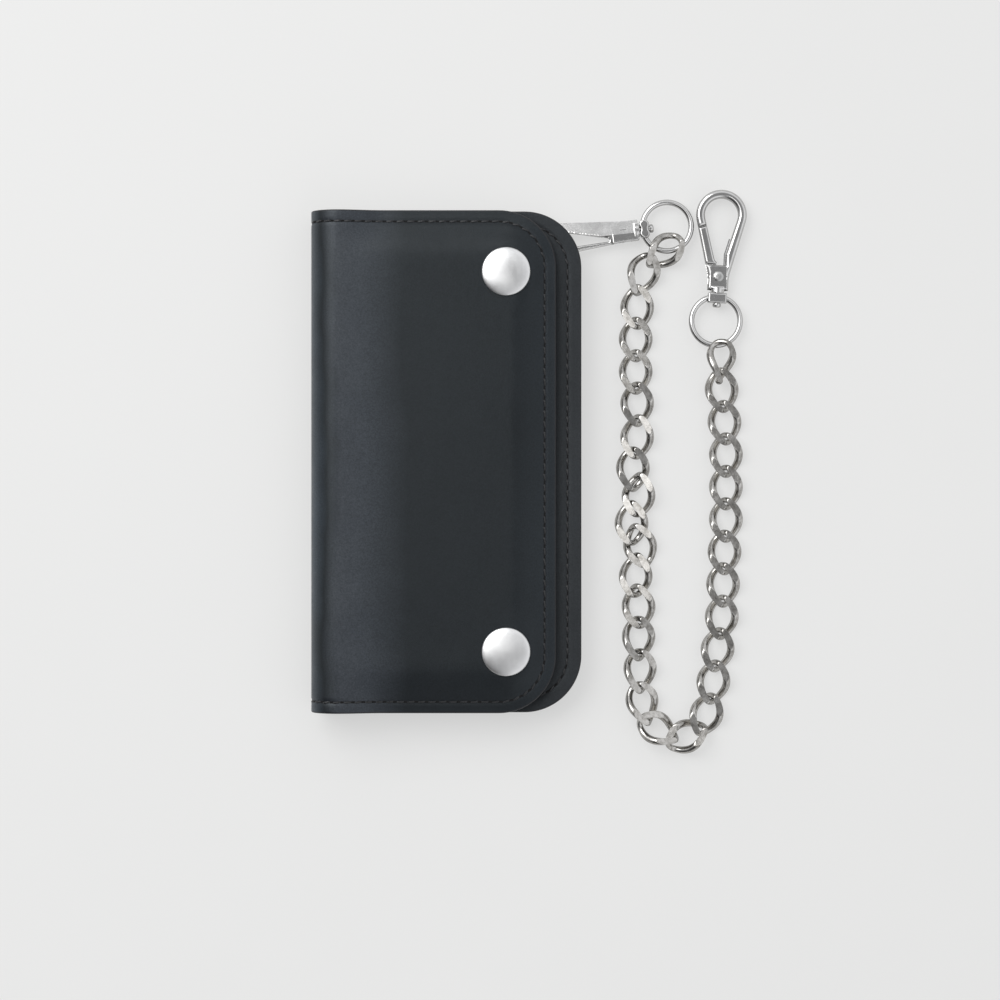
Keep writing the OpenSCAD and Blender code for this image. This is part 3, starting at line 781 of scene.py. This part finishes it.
front_cover = Sheet(
    FRONT_EDGE, FOLD_X, lambda x, y: HEIGHT - FRONT_DROP * front_rise(x, y), 1, COVER,
    bend=(math.pi, math.pi / 2), groove=STITCH_INSET,
)
back_cover = Sheet(
    BACK_EDGE, FOLD_X, lambda x, y: BACK_RISE * back_rise(x, y), -1, COVER,
    bend=(math.pi, 1.5 * math.pi), groove=STRIP_STITCH_INSET,
)
back_panel = Sheet(
    BACK_EDGE, FOLD_X + 2, lambda x, y: BACK_TOP, 1, PANEL, groove=STRIP_STITCH_INSET,
    opening=(ZIP_X - ZIP_OPENING / 2, ZIP_X + ZIP_OPENING / 2, HALF_LENGTH - EDGE_ROUND - END_STEPS[-1]),
)
front_panel = Sheet(
    FRONT_EDGE, FOLD_X + 2,
    lambda x, y: FRONT_PANEL_Z + FRONT_PANEL_RISE * (1 - rise(x, y, FRONT_EDGE, FRONT_REACH)),
    -1, PANEL, groove=STITCH_INSET,
)
divider = Sheet(
    BACK_EDGE, FOLD_X + 2,
    lambda x, y: DIVIDER_Z + LINING + (BACK_PANEL_Z - LINING - DIVIDER_Z) * back_rise(x, y), 1, LINING,
)


def bends(thing, body, slot, *nodes):
    """A piece on the outer leather: its placement is baked into its mesh, and the CAD nodes it stands for are
    hidden.
    """
    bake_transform(thing)
    if nodes:
        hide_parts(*nodes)


def stitch(sheet, body, name, attach):
    """A sheet's thread and stitch holes."""
    threads, holes = sheet.stitches()
    attach(mesh_object(f"{name}_thread", *threads, [THREAD]), body, "leather")
    attach(mesh_object(f"{name}_stitch_holes", *holes, [HOLE_SHADE], sharp=30), body, "leather")


for sheet, body, name, nodes in ((front_cover, "wallet_front", "front_cover", ("front_cover", "spine_cover")),
                                 (back_cover, "wallet_back", "back_cover", ("back_cover",))):
    bends(sheet.build(f"{name}_leather", LEATHER), body, "leather", *nodes)
    stitch(sheet, body, name, bends)

finished(divider.build("divider_lining", LINING_LEATHER), "wallet_back", "lining", "back_divider")
finished(back_panel.build("back_panel_leather", INNER_LEATHER), "wallet_back", "leather", "back_panel")
finished(front_panel.build("front_panel_leather", LINING_LEATHER), "wallet_front", "lining", "front_panel")
stitch(back_panel, "wallet_back", "back_panel", finished)
stitch(front_panel, "wallet_front", "front_panel", finished)


# ---- snaps

CAP_RADIUS = 8.5
CAP_HEIGHT = 2.0
CAP_RIM_HEIGHT = 0.62
CAP_SINK = 0.06
POST_SINK = 0.55


def cap_profile():
    """A low dome that turns down into a rolled rim."""
    radii = (0.6, 1.2, 1.8, 2.4, 3, 3.6, 4.2, 4.8, 5.4, 6, 6.5, 7, 7.4, 7.7, 7.95, 8.15, 8.3)
    rounded = CAP_HEIGHT - CAP_RIM_HEIGHT
    dome = [(r, CAP_RIM_HEIGHT + rounded * (1 - (r / CAP_RADIUS) ** 2) ** 0.62) for r in radii]
    rim = [(8.44, 0.6), (8.5, 0.42), (8.46, 0.24), (8.32, 0.1), (8.1, 0.03), (7.7, 0.0)]
    return [(0, CAP_HEIGHT)] + dome + rim + [(0, 0.0)]


# Each profile goes up from where its piece sits, except that the socket's goes down
SOCKET_PROFILE = [
    (0, -0.6), (2.1, -0.6), (2.1, -0.75), (2.7, -0.85), (2.75, -1.7), (2.95, -1.95), (3.3, -2.0), (3.7, -1.9),
    (3.9, -1.6), (4.3, -1.45), (4.9, -1.5), (5.3, -1.35), (5.55, -1.0), (5.6, -0.5), (5.5, -0.1), (5.2, 0),
    (0, 0),
]
STUD_PROFILE = [
    (0, 1.8), (1.0, 1.8), (1.5, 1.74), (2.1, 1.6), (2.42, 1.4), (2.5, 1.15), (2.4, 0.95), (2.2, 0.8),
    (2.15, 0.5), (2.4, 0.38), (3.2, 0.36), (4.1, 0.34), (4.5, 0.26), (4.6, 0.12), (4.55, 0), (0, 0),
]
POST_PROFILE = [(0, 0.5), (3.6, 0.5), (4.05, 0.42), (4.2, 0.25), (4.1, 0.05), (3.8, 0), (0, 0)]
SOCKET_TOP = FRONT_PANEL_Z + FRONT_PANEL_RISE
# The kind and form of each snap piece, its profile, its height, its segments, its body, its metal and the
# angle in degrees from which its edges are sharp
SNAP_PIECES = (
    ("cap", "dome", cap_profile(), HEIGHT - CAP_SINK, 96, "wallet_front", CAP_METAL, 60),
    ("socket", "shell", SOCKET_PROFILE, SOCKET_TOP, 64, "wallet_front", SNAP_METAL, 50),
    ("stud", "button", STUD_PROFILE, BACK_TOP, 64, "wallet_back", SNAP_METAL, 50),
    ("post", "disc", POST_PROFILE, BACK_PANEL_Z - POST_SINK, 48, "wallet_back", SNAP_METAL, 40),
)

for side, end in ((1, "top"), (-1, "bottom")):
    for kind, form, profile, z, segments, body, metal, sharp in SNAP_PIECES:
        mesh = lathe(profile, segments, (SNAP_X, side * SNAP_Y, z))
        piece(f"snap_{kind}_{form}_{end}", mesh, metal, body, "snap_metal", f"snap_{kind}_{end}", sharp)


# ---- card slips and zip

def slab(low, high, bevel=0.15, corner=1.2, steps=5):
    """A thin leather or cloth strip with rounded corners and softened edges."""
    x0, y0, z0 = low
    x1, y1, z1 = high
    soft = 0.3 * bevel
    levels = (
        (bevel, z1), (soft, z1 - soft), (0, z1 - bevel),
        (0, z0 + bevel), (soft, z0 + soft), (bevel, z0),
    )
    middles = ((x1 - corner, y1 - corner), (x0 + corner, y1 - corner),
               (x0 + corner, y0 + corner), (x1 - corner, y0 + corner))
    points = []
    for inset, z in levels:
        reach = corner - inset
        for quarter, (x, y) in enumerate(middles):
            for k in range(steps + 1):
                turn = math.radians(90 * quarter + 90 * k / steps)
                points.append((x + reach * math.cos(turn), y + reach * math.sin(turn), z))
    return points, tube_faces(len(levels), len(middles) * (steps + 1))


SLIP_WIDTH = 20
SLIP_HALF_LENGTH = 66
SLIP_STEP = 11
SLIP_GAP = 0.05

for k in (1, 2, 3):
    x = FOLD_X + 5 + (k - 1) * SLIP_STEP
    z = FRONT_PANEL_Z + FRONT_PANEL_RISE - k * (LINING + SLIP_GAP)
    strip = slab((x, -SLIP_HALF_LENGTH, z), (x + SLIP_WIDTH, SLIP_HALF_LENGTH, z + LINING))
    piece(f"card_slip_leather_{k}", strip, INNER_LEATHER, "wallet_front", "leather", f"card_slip_{k}", 60)

TEETH_EDGE = 3
TOOTH_PITCH = 2.5
TAPE_WIDTH = 10
TAPE_HALF_LENGTH = ZIP_LENGTH / 2 + 4
TAPE_HALF_THICKNESS = 0.2
CORD_HALF_HEIGHT = 0.6
SLIDER_HALF_WIDTH = 3.8
SLIDER_HALF_LENGTH = 4.5
SLIDER_PLATE_Z = 1.1
PULL_LIFT = 0.48
PULL_HALF_WIDTH = 2.5
PULL_MIDDLE_Y = -9.6


def zip_box(side, near, far, half_length, half_height):
    """The low and high corners of a box along one side of the zip, between two distances from its middle."""
    xs = sorted((ZIP_X + side * near, ZIP_X + side * far))
    return (xs[0], -half_length, ZIP_Z - half_height), (xs[1], half_length, ZIP_Z + half_height)


def teeth_row(side):
    """A cord with a tooth at each pitch. The two rows stand half a pitch apart."""
    edge = TEETH_EDGE - 0.7
    parts = [rounded_box(*zip_box(side, edge - 0.1, edge + 0.9, ZIP_LENGTH / 2, CORD_HALF_HEIGHT), 0.3, 0.3)]
    tooth, tooth_faces = rounded_box((0.6, 0, -0.65), (2.9, 1.25, 0.65), 0.25, 0.16)
    count = int(ZIP_LENGTH / TOOTH_PITCH) - 1
    first = (0 if side > 0 else -TOOTH_PITCH / 2) - count * TOOTH_PITCH / 2
    for k in range(count + 1):
        parts.append((tooth * (side, 1, 1) + (ZIP_X, first + k * TOOTH_PITCH, ZIP_Z), tooth_faces))
    return merged(parts)


def slider_shape(x, y, z):
    """Two plates that narrow to their ends, a wedge between them and a bail on top."""
    widening = SLIDER_HALF_WIDTH / (SLIDER_HALF_WIDTH - 0.0875 * np.abs(y) ** 0.9)
    half = (SLIDER_HALF_WIDTH, SLIDER_HALF_LENGTH, 0.25)
    upper, lower = [box_field(x * widening, y, z, (0, 0, level), half, 0.2)
                    for level in (SLIDER_PLATE_Z, -SLIDER_PLATE_Z)]
    wedge = box_field(x, y, z, (0, 3.25, 0), (0.4, 1.2, 1.1), 0.1)
    bail = box_field(x, y, z, (0, 0, 1.75), (0.55, 2.1, 0.42), 0.2)
    return union(upper, lower, wedge, bail)


def pull_shape(x, y, z):
    """A tab that narrows towards the slider, with a slot for the bail and a round hole at its end."""
    width = PULL_HALF_WIDTH - 0.5 * eased((y + 14) / 14)
    half = (PULL_HALF_WIDTH, 11.4, 0.25)
    tab = box_field(x * PULL_HALF_WIDTH / width, y, z, (0, PULL_MIDDLE_Y, 0), half, 0.22)
    ends = np.hypot(x, np.maximum(np.abs(y - PULL_MIDDLE_Y) - 9.0, 0)) - 2.45
    slot = 0.95 - np.hypot(x, np.maximum(np.abs(y) - 1.2, 0))
    return overlap(tab, ends, slot, 1.3 - np.hypot(x, y + 18))


for side, name in ((-1, "left"), (1, "right")):
    corners = zip_box(side, TEETH_EDGE - 0.7, TEETH_EDGE + TAPE_WIDTH, TAPE_HALF_LENGTH, TAPE_HALF_THICKNESS)
    strip = slab(*corners, bevel=0.08, corner=0.6)
    piece(f"zip_tape_cloth_{name}", strip, TAPE, "wallet_back", "zip_tape", f"zip_tape_{name}")
    row = teeth_row(side)
    piece(f"zip_teeth_row_{name}", row, ZIP_METAL, "wallet_back", "zip_metal", f"zip_teeth_{name}", 50)
for side, name in ((1, "top"), (-1, "bottom")):
    y = side * (ZIP_LENGTH / 2 + 1.2)
    stop = rounded_box((ZIP_X - 2.9, y - 1, ZIP_Z - 0.7), (ZIP_X + 2.9, y + 1, ZIP_Z + 0.7), 0.35, 0.2)
    piece(f"zip_stop_bar_{name}", stop, ZIP_METAL, "wallet_back", "zip_metal", f"zip_stop_{name}")
points, faces = carve(slider_shape, (-3.9, -4.6, -1.4), (3.9, 4.6, 2.3), 0.16)
slider = points + (ZIP_X, SLIDER_Y, ZIP_Z), faces
piece("zip_slider_body", slider, ZIP_METAL, "zip_runner", "zip_metal", "zip_slider", 50)
points, faces = carve(pull_shape, (-2.6, -21.2, -0.35), (2.6, 2.2, 0.35), 0.14)
pull = points + (ZIP_X, SLIDER_Y, BACK_TOP + PULL_LIFT), faces
piece("zip_pull_tab", pull, ZIP_METAL, "zip_runner", "zip_metal", "zip_pull", 50)


# ---- hooks

def drop_field(x, y, far, near):
    """The distance to a drop: two circles (x, y, radius) and their common tangents."""
    span = math.hypot(far[0] - near[0], far[1] - near[1])
    axis = ((far[0] - near[0]) / span, (far[1] - near[1]) / span)
    along = (x - near[0]) * axis[0] + (y - near[1]) * axis[1]
    aside = np.abs((y - near[1]) * axis[0] - (x - near[0]) * axis[1])
    lean = (far[2] - near[2]) / span
    flat = math.sqrt(1 - lean * lean)
    k = along * flat + aside * lean
    small = np.hypot(along, aside) - near[2]
    big = np.hypot(along - span, aside) - far[2]
    side = aside * flat - along * lean - near[2]
    return np.where(k < 0, small, np.where(k > span * flat, big, side))


def plate(outline, z, thickness, radius):
    """A flat shape with rounded edges, from the distance to its outline."""
    a = outline + radius
    b = np.abs(z) - thickness / 2 + radius
    return np.minimum(np.maximum(a, b), 0) + np.hypot(np.maximum(a, 0), np.maximum(b, 0)) - radius


BLOCK_END = 11.8
BLOCK_RADIUS = 3.7
BLOCK_FRAME = 0.9
BLOCK_RECESS = 0.35
NECK_START = 1.95
NECK_RADIUS = 2.4
# The flat flank of the hook at the wallet slopes down from this y
FLANK_Y = 0.9
FLANK_SLOPE = 0.2
RIVET_X = 7.6
RIVET_HOLE_RADIUS = 1.05
GATE_SLOT = 1.8
GATE_PLAY = 0.1
PIN_RADIUS = 1.0
SPRING_THICKNESS = 0.4
# Further than a hook reaches in z
THROUGH = 9
CARVED_CELL = 0.2
BLOCK_FILLET = 0.4
NECK_FILLET = 0.5
COLLAR_HALF_LENGTH = 1.75
COLLAR_THICKNESS = 4.6
RAISED_RIVET = [(0, 2.18), (0.8, 2.16), (1.4, 2.06), (1.75, 1.88), (1.85, 1.7), (1.85, 1.42), (1.0, 1.42)]
FLUSH_RIVET = [(0, 1.25), (0.9, 1.22), (1.0, 1.1)]
PIN_PROFILE = [
    (0, -3.35), (0.9, -3.3), (1.35, -3.1), (1.5, -2.8), (1.5, -2.1), (1.35, -1.98), (PIN_RADIUS, -1.95),
    (PIN_RADIUS, 4.6), (0, 4.6),
]


class Hook:
    """A cast snap hook, laid out along its own x axis from its swivel to its nose.

    A framed hook has a raised frame round its block, a rounded loop and a heavy gate in line with it. The
    other kind is slimmer, with a flat sloping flank and a thin gate in a slot that runs along its leg.
    """

    def __init__(self, name, spot, heading, length, width, near, floor, wire, start, framed):
        self.name = name
        self.spot = spot
        self.heading = heading
        self.length = length
        self.radius = width / 2
        self.far_x = length - self.radius
        self.reach = length - 1.35 * self.radius - RIVET_X
        self.near = near
        self.floor = floor
        self.wire = wire
        self.start = start
        self.framed = framed
        if framed:
            self.rounding = 1.3
            self.slot_depth = 2.7
            self.slot_end = BLOCK_END + 1
            self.gate_wire = wire
            self.gate_thickness = HOOK_THICKNESS - 0.9
            self.gate_rounding = 0.9
            self.rivet_room = THROUGH
            self.rivet_top = RAISED_RIVET
        else:
            self.rounding = 0.5
            self.slot_depth = 2.1
            self.slot_end = RIVET_X + self.reach
            self.gate_wire = 2.3
            self.gate_thickness = GATE_SLOT - 0.2
            self.gate_rounding = 0.5
            self.rivet_room = 1.3
            self.rivet_top = FLUSH_RIVET

    def loop(self, x, y, wire):
        """The drop-shaped loop on its solid block."""
        outer = drop_field(x, y, (self.far_x, 0, self.radius), (BLOCK_END - BLOCK_RADIUS, 0, BLOCK_RADIUS))
        block = overlap(np.abs(y) - BLOCK_RADIUS, self.start - x, x - BLOCK_END + BLOCK_RADIUS)
        hollow = drop_field(x, y, (self.far_x, 0, self.radius - wire), self.near)
        return overlap(blended(outer, block, BLOCK_FILLET), -hollow)

    def mouth(self, x, y, floor_y, play):
        """Where the gate closes the loop."""
        return overlap(BLOCK_END + play - x, floor_y - y, np.hypot(x - RIVET_X, y) - self.reach + play)

    def body_shape(self, x, y, z):
        """The loop and block in one casting, with a neck, the gate's slot and the rivet's hole."""
        flat = overlap(self.loop(x, y, self.wire), -self.mouth(x, y, self.floor, 0))
        cast = plate(flat, z, HOOK_THICKNESS, self.rounding)
        if self.framed:
            recess = overlap(np.abs(y) - BLOCK_RADIUS + BLOCK_FRAME, self.start + BLOCK_FRAME - x,
                             x - BLOCK_END + 0.6, HOOK_THICKNESS / 2 - BLOCK_RECESS - np.abs(z))
            cast = overlap(cast, -recess)
        else:
            cast = overlap(cast, z - HOOK_THICKNESS / 2 + FLANK_SLOPE * np.maximum(0, FLANK_Y - y))
        neck = overlap(np.hypot(y, z) - NECK_RADIUS, NECK_START - x, x - self.start - 1)
        slot = overlap(np.abs(z) - GATE_SLOT / 2, RIVET_X - 2.8 - x, x - self.slot_end, -self.slot_depth - y)
        hole = overlap(np.hypot(x - RIVET_X, y) - RIVET_HOLE_RADIUS, np.abs(z) - self.rivet_room)
        return overlap(blended(cast, neck, NECK_FILLET), -slot, -hole)

    def gate_shape(self, x, y, z):
        """The arm that closes the mouth, and the thin knuckle and tongue that hold it to the rivet."""
        floor = max(0.9, self.floor + 0.15)
        arm = overlap(self.loop(x, y, self.gate_wire), self.mouth(x, y, floor, GATE_PLAY))
        arm = plate(arm, z, self.gate_thickness, self.gate_rounding)
        knuckle = np.hypot(x - RIVET_X, y) - self.slot_depth + 0.3
        end = BLOCK_END + 1
        tongue = box_field(x, y, z, ((RIVET_X + end) / 2, 1.6, 0), ((end - RIVET_X) / 2, 0.7, THROUGH))
        thin = overlap(union(knuckle, tongue), np.abs(z) - GATE_SLOT / 2 + 0.1)
        return union(arm, thin)

    def spring_mesh(self):
        """A bent leaf along the inside of the solid leg."""
        near_x, near_y, near_radius = self.near
        bend_x = near_x + 1.2
        if self.framed:
            slope = (self.radius - self.wire - near_radius + near_y) / (self.far_x - near_x)
            root_y = near_y - near_radius - slope * (bend_x - near_x) + 0.12
        else:
            slope = 0
            root_y = 0.12 - self.slot_depth
        root = np.linspace(BLOCK_END - 2, bend_x, 8)
        tip = np.linspace(bend_x, bend_x + 5.5, 12)
        xs = np.concatenate([root, tip[1:]])
        high = GATE_SLOT / 2 - 0.1
        section = ((0, -high), (0, high), (SPRING_THICKNESS, high), (SPRING_THICKNESS, -high))
        points = []
        for x in xs:
            y = root_y - slope * max(0, x - bend_x)
            points += [(x, y + dy, z) for dy, z in section]
        return points, tube_faces(len(xs), len(section))

    def ring_mesh(self):
        """The open ring, its two ends in the collar."""
        end = math.asin((PIN_RADIUS + 0.6) / RING_RADIUS)
        turns = np.linspace(end, 2 * math.pi - end, 120)
        sides = 20
        points = []
        for turn in turns:
            for c, s in circle(sides):
                reach = RING_RADIUS + RING_WIRE / 2 * c
                x = -RING_OFFSET + reach * math.cos(turn)
                points.append((x, reach * math.sin(turn), RING_WIRE / 2 * s))
        return points, tube_faces(len(turns), sides)

    def collar_shape(self, x, y, z):
        """A block, or two rounded lobes side by side, with a bore for the pin."""
        if self.framed:
            outline = overlap(np.abs(x) - COLLAR_HALF_LENGTH, np.abs(y) - 3.3)
        else:
            lobes = np.hypot(x, np.abs(y) - 1.6) - COLLAR_HALF_LENGTH
            outline = blended(lobes, overlap(np.abs(x) - 1.4, np.abs(y) - 1.6), 0.3)
        return overlap(plate(outline, z, COLLAR_THICKNESS, 0.6), PIN_RADIUS + 0.1 - np.hypot(y, z))

    def add(self, part, mesh, body, metal=HOOK_METAL, sharp=45):
        points, faces = mesh
        placed = turned(points, self.heading, self.spot, HOOK_Z), faces
        piece(f"{self.name}_{part}_metal", placed, metal, body, "hook_metal", f"{self.name}_{part}", sharp)

    def build(self):
        r = self.radius
        swivel = f"{self.name}_swivel"
        body = carve(self.body_shape, (1.8, -r, -2.3), (self.length, r, 2.3), CARVED_CELL)
        self.add("body", body, self.name, sharp=38)
        gate = carve(self.gate_shape, (RIVET_X - 2.5, -2.5, -1.6), (self.length, r, 1.6), CARVED_CELL)
        self.add("gate", gate, f"{self.name}_lever", sharp=38)
        rivet_bottom = [(radius, -z) for radius, z in reversed(self.rivet_top)]
        rivet = lathe(self.rivet_top + rivet_bottom, 40, (RIVET_X, 0, 0))
        self.add("gate_rivet", rivet, self.name, SNAP_METAL)
        self.add("spring", self.spring_mesh(), self.name, sharp=30)
        self.add("swivel_ring", self.ring_mesh(), swivel)
        corner = np.array([COLLAR_HALF_LENGTH, 3.7, COLLAR_THICKNESS / 2])
        collar = carve(self.collar_shape, -corner, corner, 0.16)
        self.add("swivel_collar", collar, swivel)
        pin, pin_faces = lathe(PIN_PROFILE, 36)
        self.add("swivel_pin", ([(z, x, y) for x, y, z in pin], pin_faces), self.name)


for hook in (WALLET_HOOK, FREE_HOOK):
    Hook(**hook).build()


# ---- the hook's thong and its rivet

HANGER_WIDTH = 4.4
HANGER_LEATHER = 0.8
HANGER_RIVET_X = 48


def ribbon(middle, width, thickness):
    """A strap of even thickness along points of x and z, with softened edges."""
    middle = np.array(middle, float)
    along = np.gradient(middle, axis=0)
    along /= np.linalg.norm(along, axis=1)[:, None]
    normal = np.array([-along[:, 1], along[:, 0]]).T
    half = width / 2
    thick = thickness / 2
    soft = thickness * 0.3
    softer = soft * 0.3
    section = [
        (-half + soft, thick), (half - soft, thick), (half - softer, thick - softer),
        (half, thick - soft), (half, soft - thick), (half - softer, softer - thick),
        (half - soft, -thick), (soft - half, -thick), (softer - half, softer - thick),
        (-half, soft - thick), (-half, thick - soft), (softer - half, thick - softer),
    ]
    points = [(m[0] + n[0] * b, a, m[1] + n[1] * b) for m, n in zip(middle, normal) for a, b in section]
    return points, tube_faces(len(middle), len(section))


def smooth_path(corners, steps=10):
    """A line through corners with each one rounded."""
    corners = [np.array(c, float) for c in corners]
    path = [corners[0]]
    for before, corner, after in zip(corners, corners[1:], corners[2:]):
        cut = min(0.45 * np.linalg.norm(corner - before), 0.45 * np.linalg.norm(after - corner), 2.2)
        a = corner + cut * unit(before - corner)
        b = corner + cut * unit(after - corner)
        path += [(1 - t) ** 2 * a + 2 * t * (1 - t) * corner + t * t * b for t in np.linspace(0, 1, steps)]
    return path + [corners[-1]]


def hanger_strap():
    """The thong, doubled round the hook's nose with its two ends together at the rivet."""
    level = HOOK_THICKNESS / 2 + GATE_PLAY + HANGER_LEATHER / 2
    nose_x = WALLET_HOOK["length"]
    bend_x = nose_x - 4.7
    end_x = HANGER_RIVET_X + 3.5
    corners = [
        (end_x, level), (bend_x + 0.8, level), (bend_x, level - 0.8),
        (bend_x, 0.8 - level), (bend_x + 0.8, -level), (nose_x + 1, -level),
        (HANGER_RIVET_X - 4, level - HANGER_LEATHER), (end_x, level - HANGER_LEATHER),
    ]
    points, faces = ribbon(smooth_path(corners), HANGER_WIDTH, HANGER_LEATHER)
    placed = turned(points, WALLET_HOOK["heading"], WALLET_HOOK["spot"], HOOK_Z)
    piece("hanger_thong", (placed, faces), INNER_LEATHER, "wallet_back", "leather", "hanger_strap", 60)


def hanger_rivet():
    """The rivet that holds the thong to the back cover."""
    spot = turned([(HANGER_RIVET_X, 0, 0)], WALLET_HOOK["heading"], WALLET_HOOK["spot"])[0][:2]
    low = HOOK_Z + HOOK_THICKNESS / 2 + GATE_PLAY - HANGER_LEATHER - 0.02
    high = COVER + BACK_RISE * back_rise(*spot) + 0.5
    profile = [
        (0, low - 0.5), (1.6, low - 0.48), (2.1, low - 0.3), (2.2, low - 0.05), (2.1, low), (1.2, low),
        (1.2, high), (2.1, high), (2.2, high + 0.1), (2.0, high + 0.4), (1.5, high + 0.5), (0, high + 0.5),
    ]
    rivet = lathe(profile, 40, (*spot, 0))
    piece("hanger_rivet_metal", rivet, SNAP_METAL, "wallet_back", "snap_metal", "hanger_rivet")


hanger_strap()
hanger_rivet()


# ---- chain

LINK_LENGTH = 16.3
LINK_WIDTH = 12
LINK_WIRE = 2.1
# The height between a link's two ground faces
LINK_GROUND = 4.4
# How much thicker the wire is at a link's flanks
LINK_SWELL = 0.3
# Below 1, a link's ends are broader than an oval's
LINK_SQUARENESS = 0.8
# How many degrees a link's two ends are turned about its length, one each way
LINK_TWIST = -58
LINK_RINGS = 112
LINK_SIDES = 28


def link_mesh():
    """A curb link: an oval of round wire, twisted, with its two faces ground flat."""
    half_length = (LINK_LENGTH - LINK_WIRE) / 2
    half_width = (LINK_WIDTH - LINK_WIRE) / 2 - LINK_SWELL

    def wire(t):
        turn = math.radians(LINK_TWIST) * np.cos(t)
        reach = half_width * np.sign(np.sin(t)) * np.abs(np.sin(t)) ** LINK_SQUARENESS
        return np.array([half_length * np.cos(t), reach * np.cos(turn), reach * np.sin(turn)]).T

    t = np.arange(LINK_RINGS) * 2 * math.pi / LINK_RINGS
    middle = wire(t)
    along = wire(t + 0.002) - wire(t - 0.002)
    along /= np.linalg.norm(along, axis=1)[:, None]
    outward = middle - along * (along * middle).sum(1)[:, None]
    outward /= np.linalg.norm(outward, axis=1)[:, None]
    sideways = np.cross(along, outward)
    q = ((np.arange(LINK_SIDES) + 0.5) * 2 * math.pi / LINK_SIDES)[None, :, None]
    thick = (LINK_WIRE / 2 + LINK_SWELL * np.abs(np.sin(t)) ** 3)[:, None, None]
    around = np.cos(q) * outward[:, None] + np.sin(q) * sideways[:, None]
    points = (middle[:, None] + thick * around).reshape(-1, 3)
    points[:, 2] = np.clip(points[:, 2], -LINK_GROUND / 2, LINK_GROUND / 2)
    return points, tube_faces(LINK_RINGS, LINK_SIDES, closed=True)


def rolled(points, roll):
    """Points turned about X by a roll in degrees."""
    a = math.radians(roll)
    return points @ np.array([[1, 0, 0], [0, math.cos(a), math.sin(a)], [0, -math.sin(a), math.cos(a)]])


link_points, link_faces = link_mesh()
for start in range(0, len(LINKS), LINKS_IN_A_SEGMENT):
    parts = []
    for x, y, heading, roll, lift in LINKS[start:start + LINKS_IN_A_SEGMENT]:
        lying = rolled(link_points, roll)
        parts.append((turned(lying, heading, (x, y), lift - lying[:, 2].min()), link_faces))
    node = f"chain_links_{start + 1:02d}_to_{start + LINKS_IN_A_SEGMENT:02d}"
    body = f"chain_{start // LINKS_IN_A_SEGMENT + 1:02d}"
    piece(f"{node}_metal", merged(parts), CHAIN_METAL, body, "chain_metal", node, 28)


# ---- table, lights and camera

TABLE_HALF = 6000


def table_material():
    """A pale, faintly mottled sheet, lit a little from below like a light table."""
    nodes = Material("pale_table")
    mottle = nodes.noise(9, 4, 0.6)
    nodes.patterned(mottle, ((0.285, 0.285, 0.28), (0.30, 0.30, 0.295)), (0.6, 0.75))
    nodes.bump(nodes.noise(400, 4, 0.6), 0.00005, 0.3)
    nodes.set(Emission_Color=(1, 1, 0.995, 1), Emission_Strength=0.525)
    return nodes.material


def table():
    corners = [(x * TABLE_HALF, y * TABLE_HALF, 0) for x, y in ((-1, -1), (1, -1), (1, 1), (-1, 1))]
    mesh_object("pale_table", corners, [(0, 1, 2, 3)], [table_material()])


def area_light(name, position, size, power):
    """A rectangular lamp that faces the middle of the table."""
    lamp = bpy.data.lights.new(name, "AREA")
    lamp.shape = "RECTANGLE"
    lamp.size, lamp.size_y = size
    lamp.energy = power
    thing = bpy.data.objects.new(name, lamp)
    bpy.context.scene.collection.objects.link(thing)
    thing.location = position
    x, y, z = position
    thing.rotation_euler = (math.atan2(math.hypot(x, y), z), 0, math.atan2(-y, -x) - math.pi / 2)


# How bright the room is in each direction, from level at 0 to straight up at 1
ROOM_LIGHT = ((0.0, 0.42), (0.3, 0.75), (0.6, 1.0), (0.8, 0.95), (0.93, 0.58), (0.985, 0.3))
ROOM_TINT = (0.99, 1, 1.02)
ROOM_STRENGTH = 0.85
# One corner of the room is dark. The light falls off as the direction comes close to the corner's.
DARK_CORNER_DIRECTION = (-0.55, -0.6, 0.58)
DARK_CORNER_LIGHT = ((0.72, 1.0), (0.95, 0.08))


def soft_room():
    """Even room light, dimmer overhead and in one corner."""
    world = bpy.data.worlds.new("soft_room")
    world.use_nodes = True
    nodes = Nodes(world.node_tree, "Generated")
    stops = [(position, tuple(grey * tint for tint in ROOM_TINT)) for position, grey in ROOM_LIGHT]
    overhead = nodes.ramp(nodes.split(nodes.place)["Z"], *stops)
    toward = nodes.node("ShaderNodeVectorMath")
    toward.operation = "DOT_PRODUCT"
    toward.inputs[1].default_value = DARK_CORNER_DIRECTION
    nodes.link(nodes.place, toward.inputs[0])
    corner = nodes.ramp(toward.outputs["Value"], *DARK_CORNER_LIGHT)
    background = nodes.tree.nodes["Background"]
    nodes.link(nodes.mix(1.0, overhead, corner, "MULTIPLY"), background.inputs["Color"])
    background.inputs["Strength"].default_value = ROOM_STRENGTH
    bpy.context.scene.world = world


CAMERA_X, CAMERA_Y = 18.9, -13.4
VIEW_WIDTH = 352.5
VIEW_LEVEL = 8
CAMERA_DISTANCE = 1000
SENSOR = 36


def overhead_camera():
    """A camera straight above the table that sees VIEW_WIDTH at VIEW_LEVEL."""
    data = bpy.data.cameras.new("camera")
    data.sensor_width = SENSOR
    data.lens = SENSOR * CAMERA_DISTANCE / VIEW_WIDTH
    data.clip_start = 0.01
    camera = bpy.data.objects.new("camera", data)
    camera.location = (MM * CAMERA_X, MM * CAMERA_Y, MM * (VIEW_LEVEL + CAMERA_DISTANCE))
    bpy.context.scene.collection.objects.link(camera)
    bpy.context.scene.camera = camera


table()
area_light("key_light", (-0.6, 0.62, 1.05), (1.0, 1.0), 9.0)
area_light("sheen_light", (-0.36, 0.1, 1.1), (0.3, 1.0), 1.0)
soft_room()
overhead_camera()
bpy.context.scene.view_settings.view_transform = "Standard"
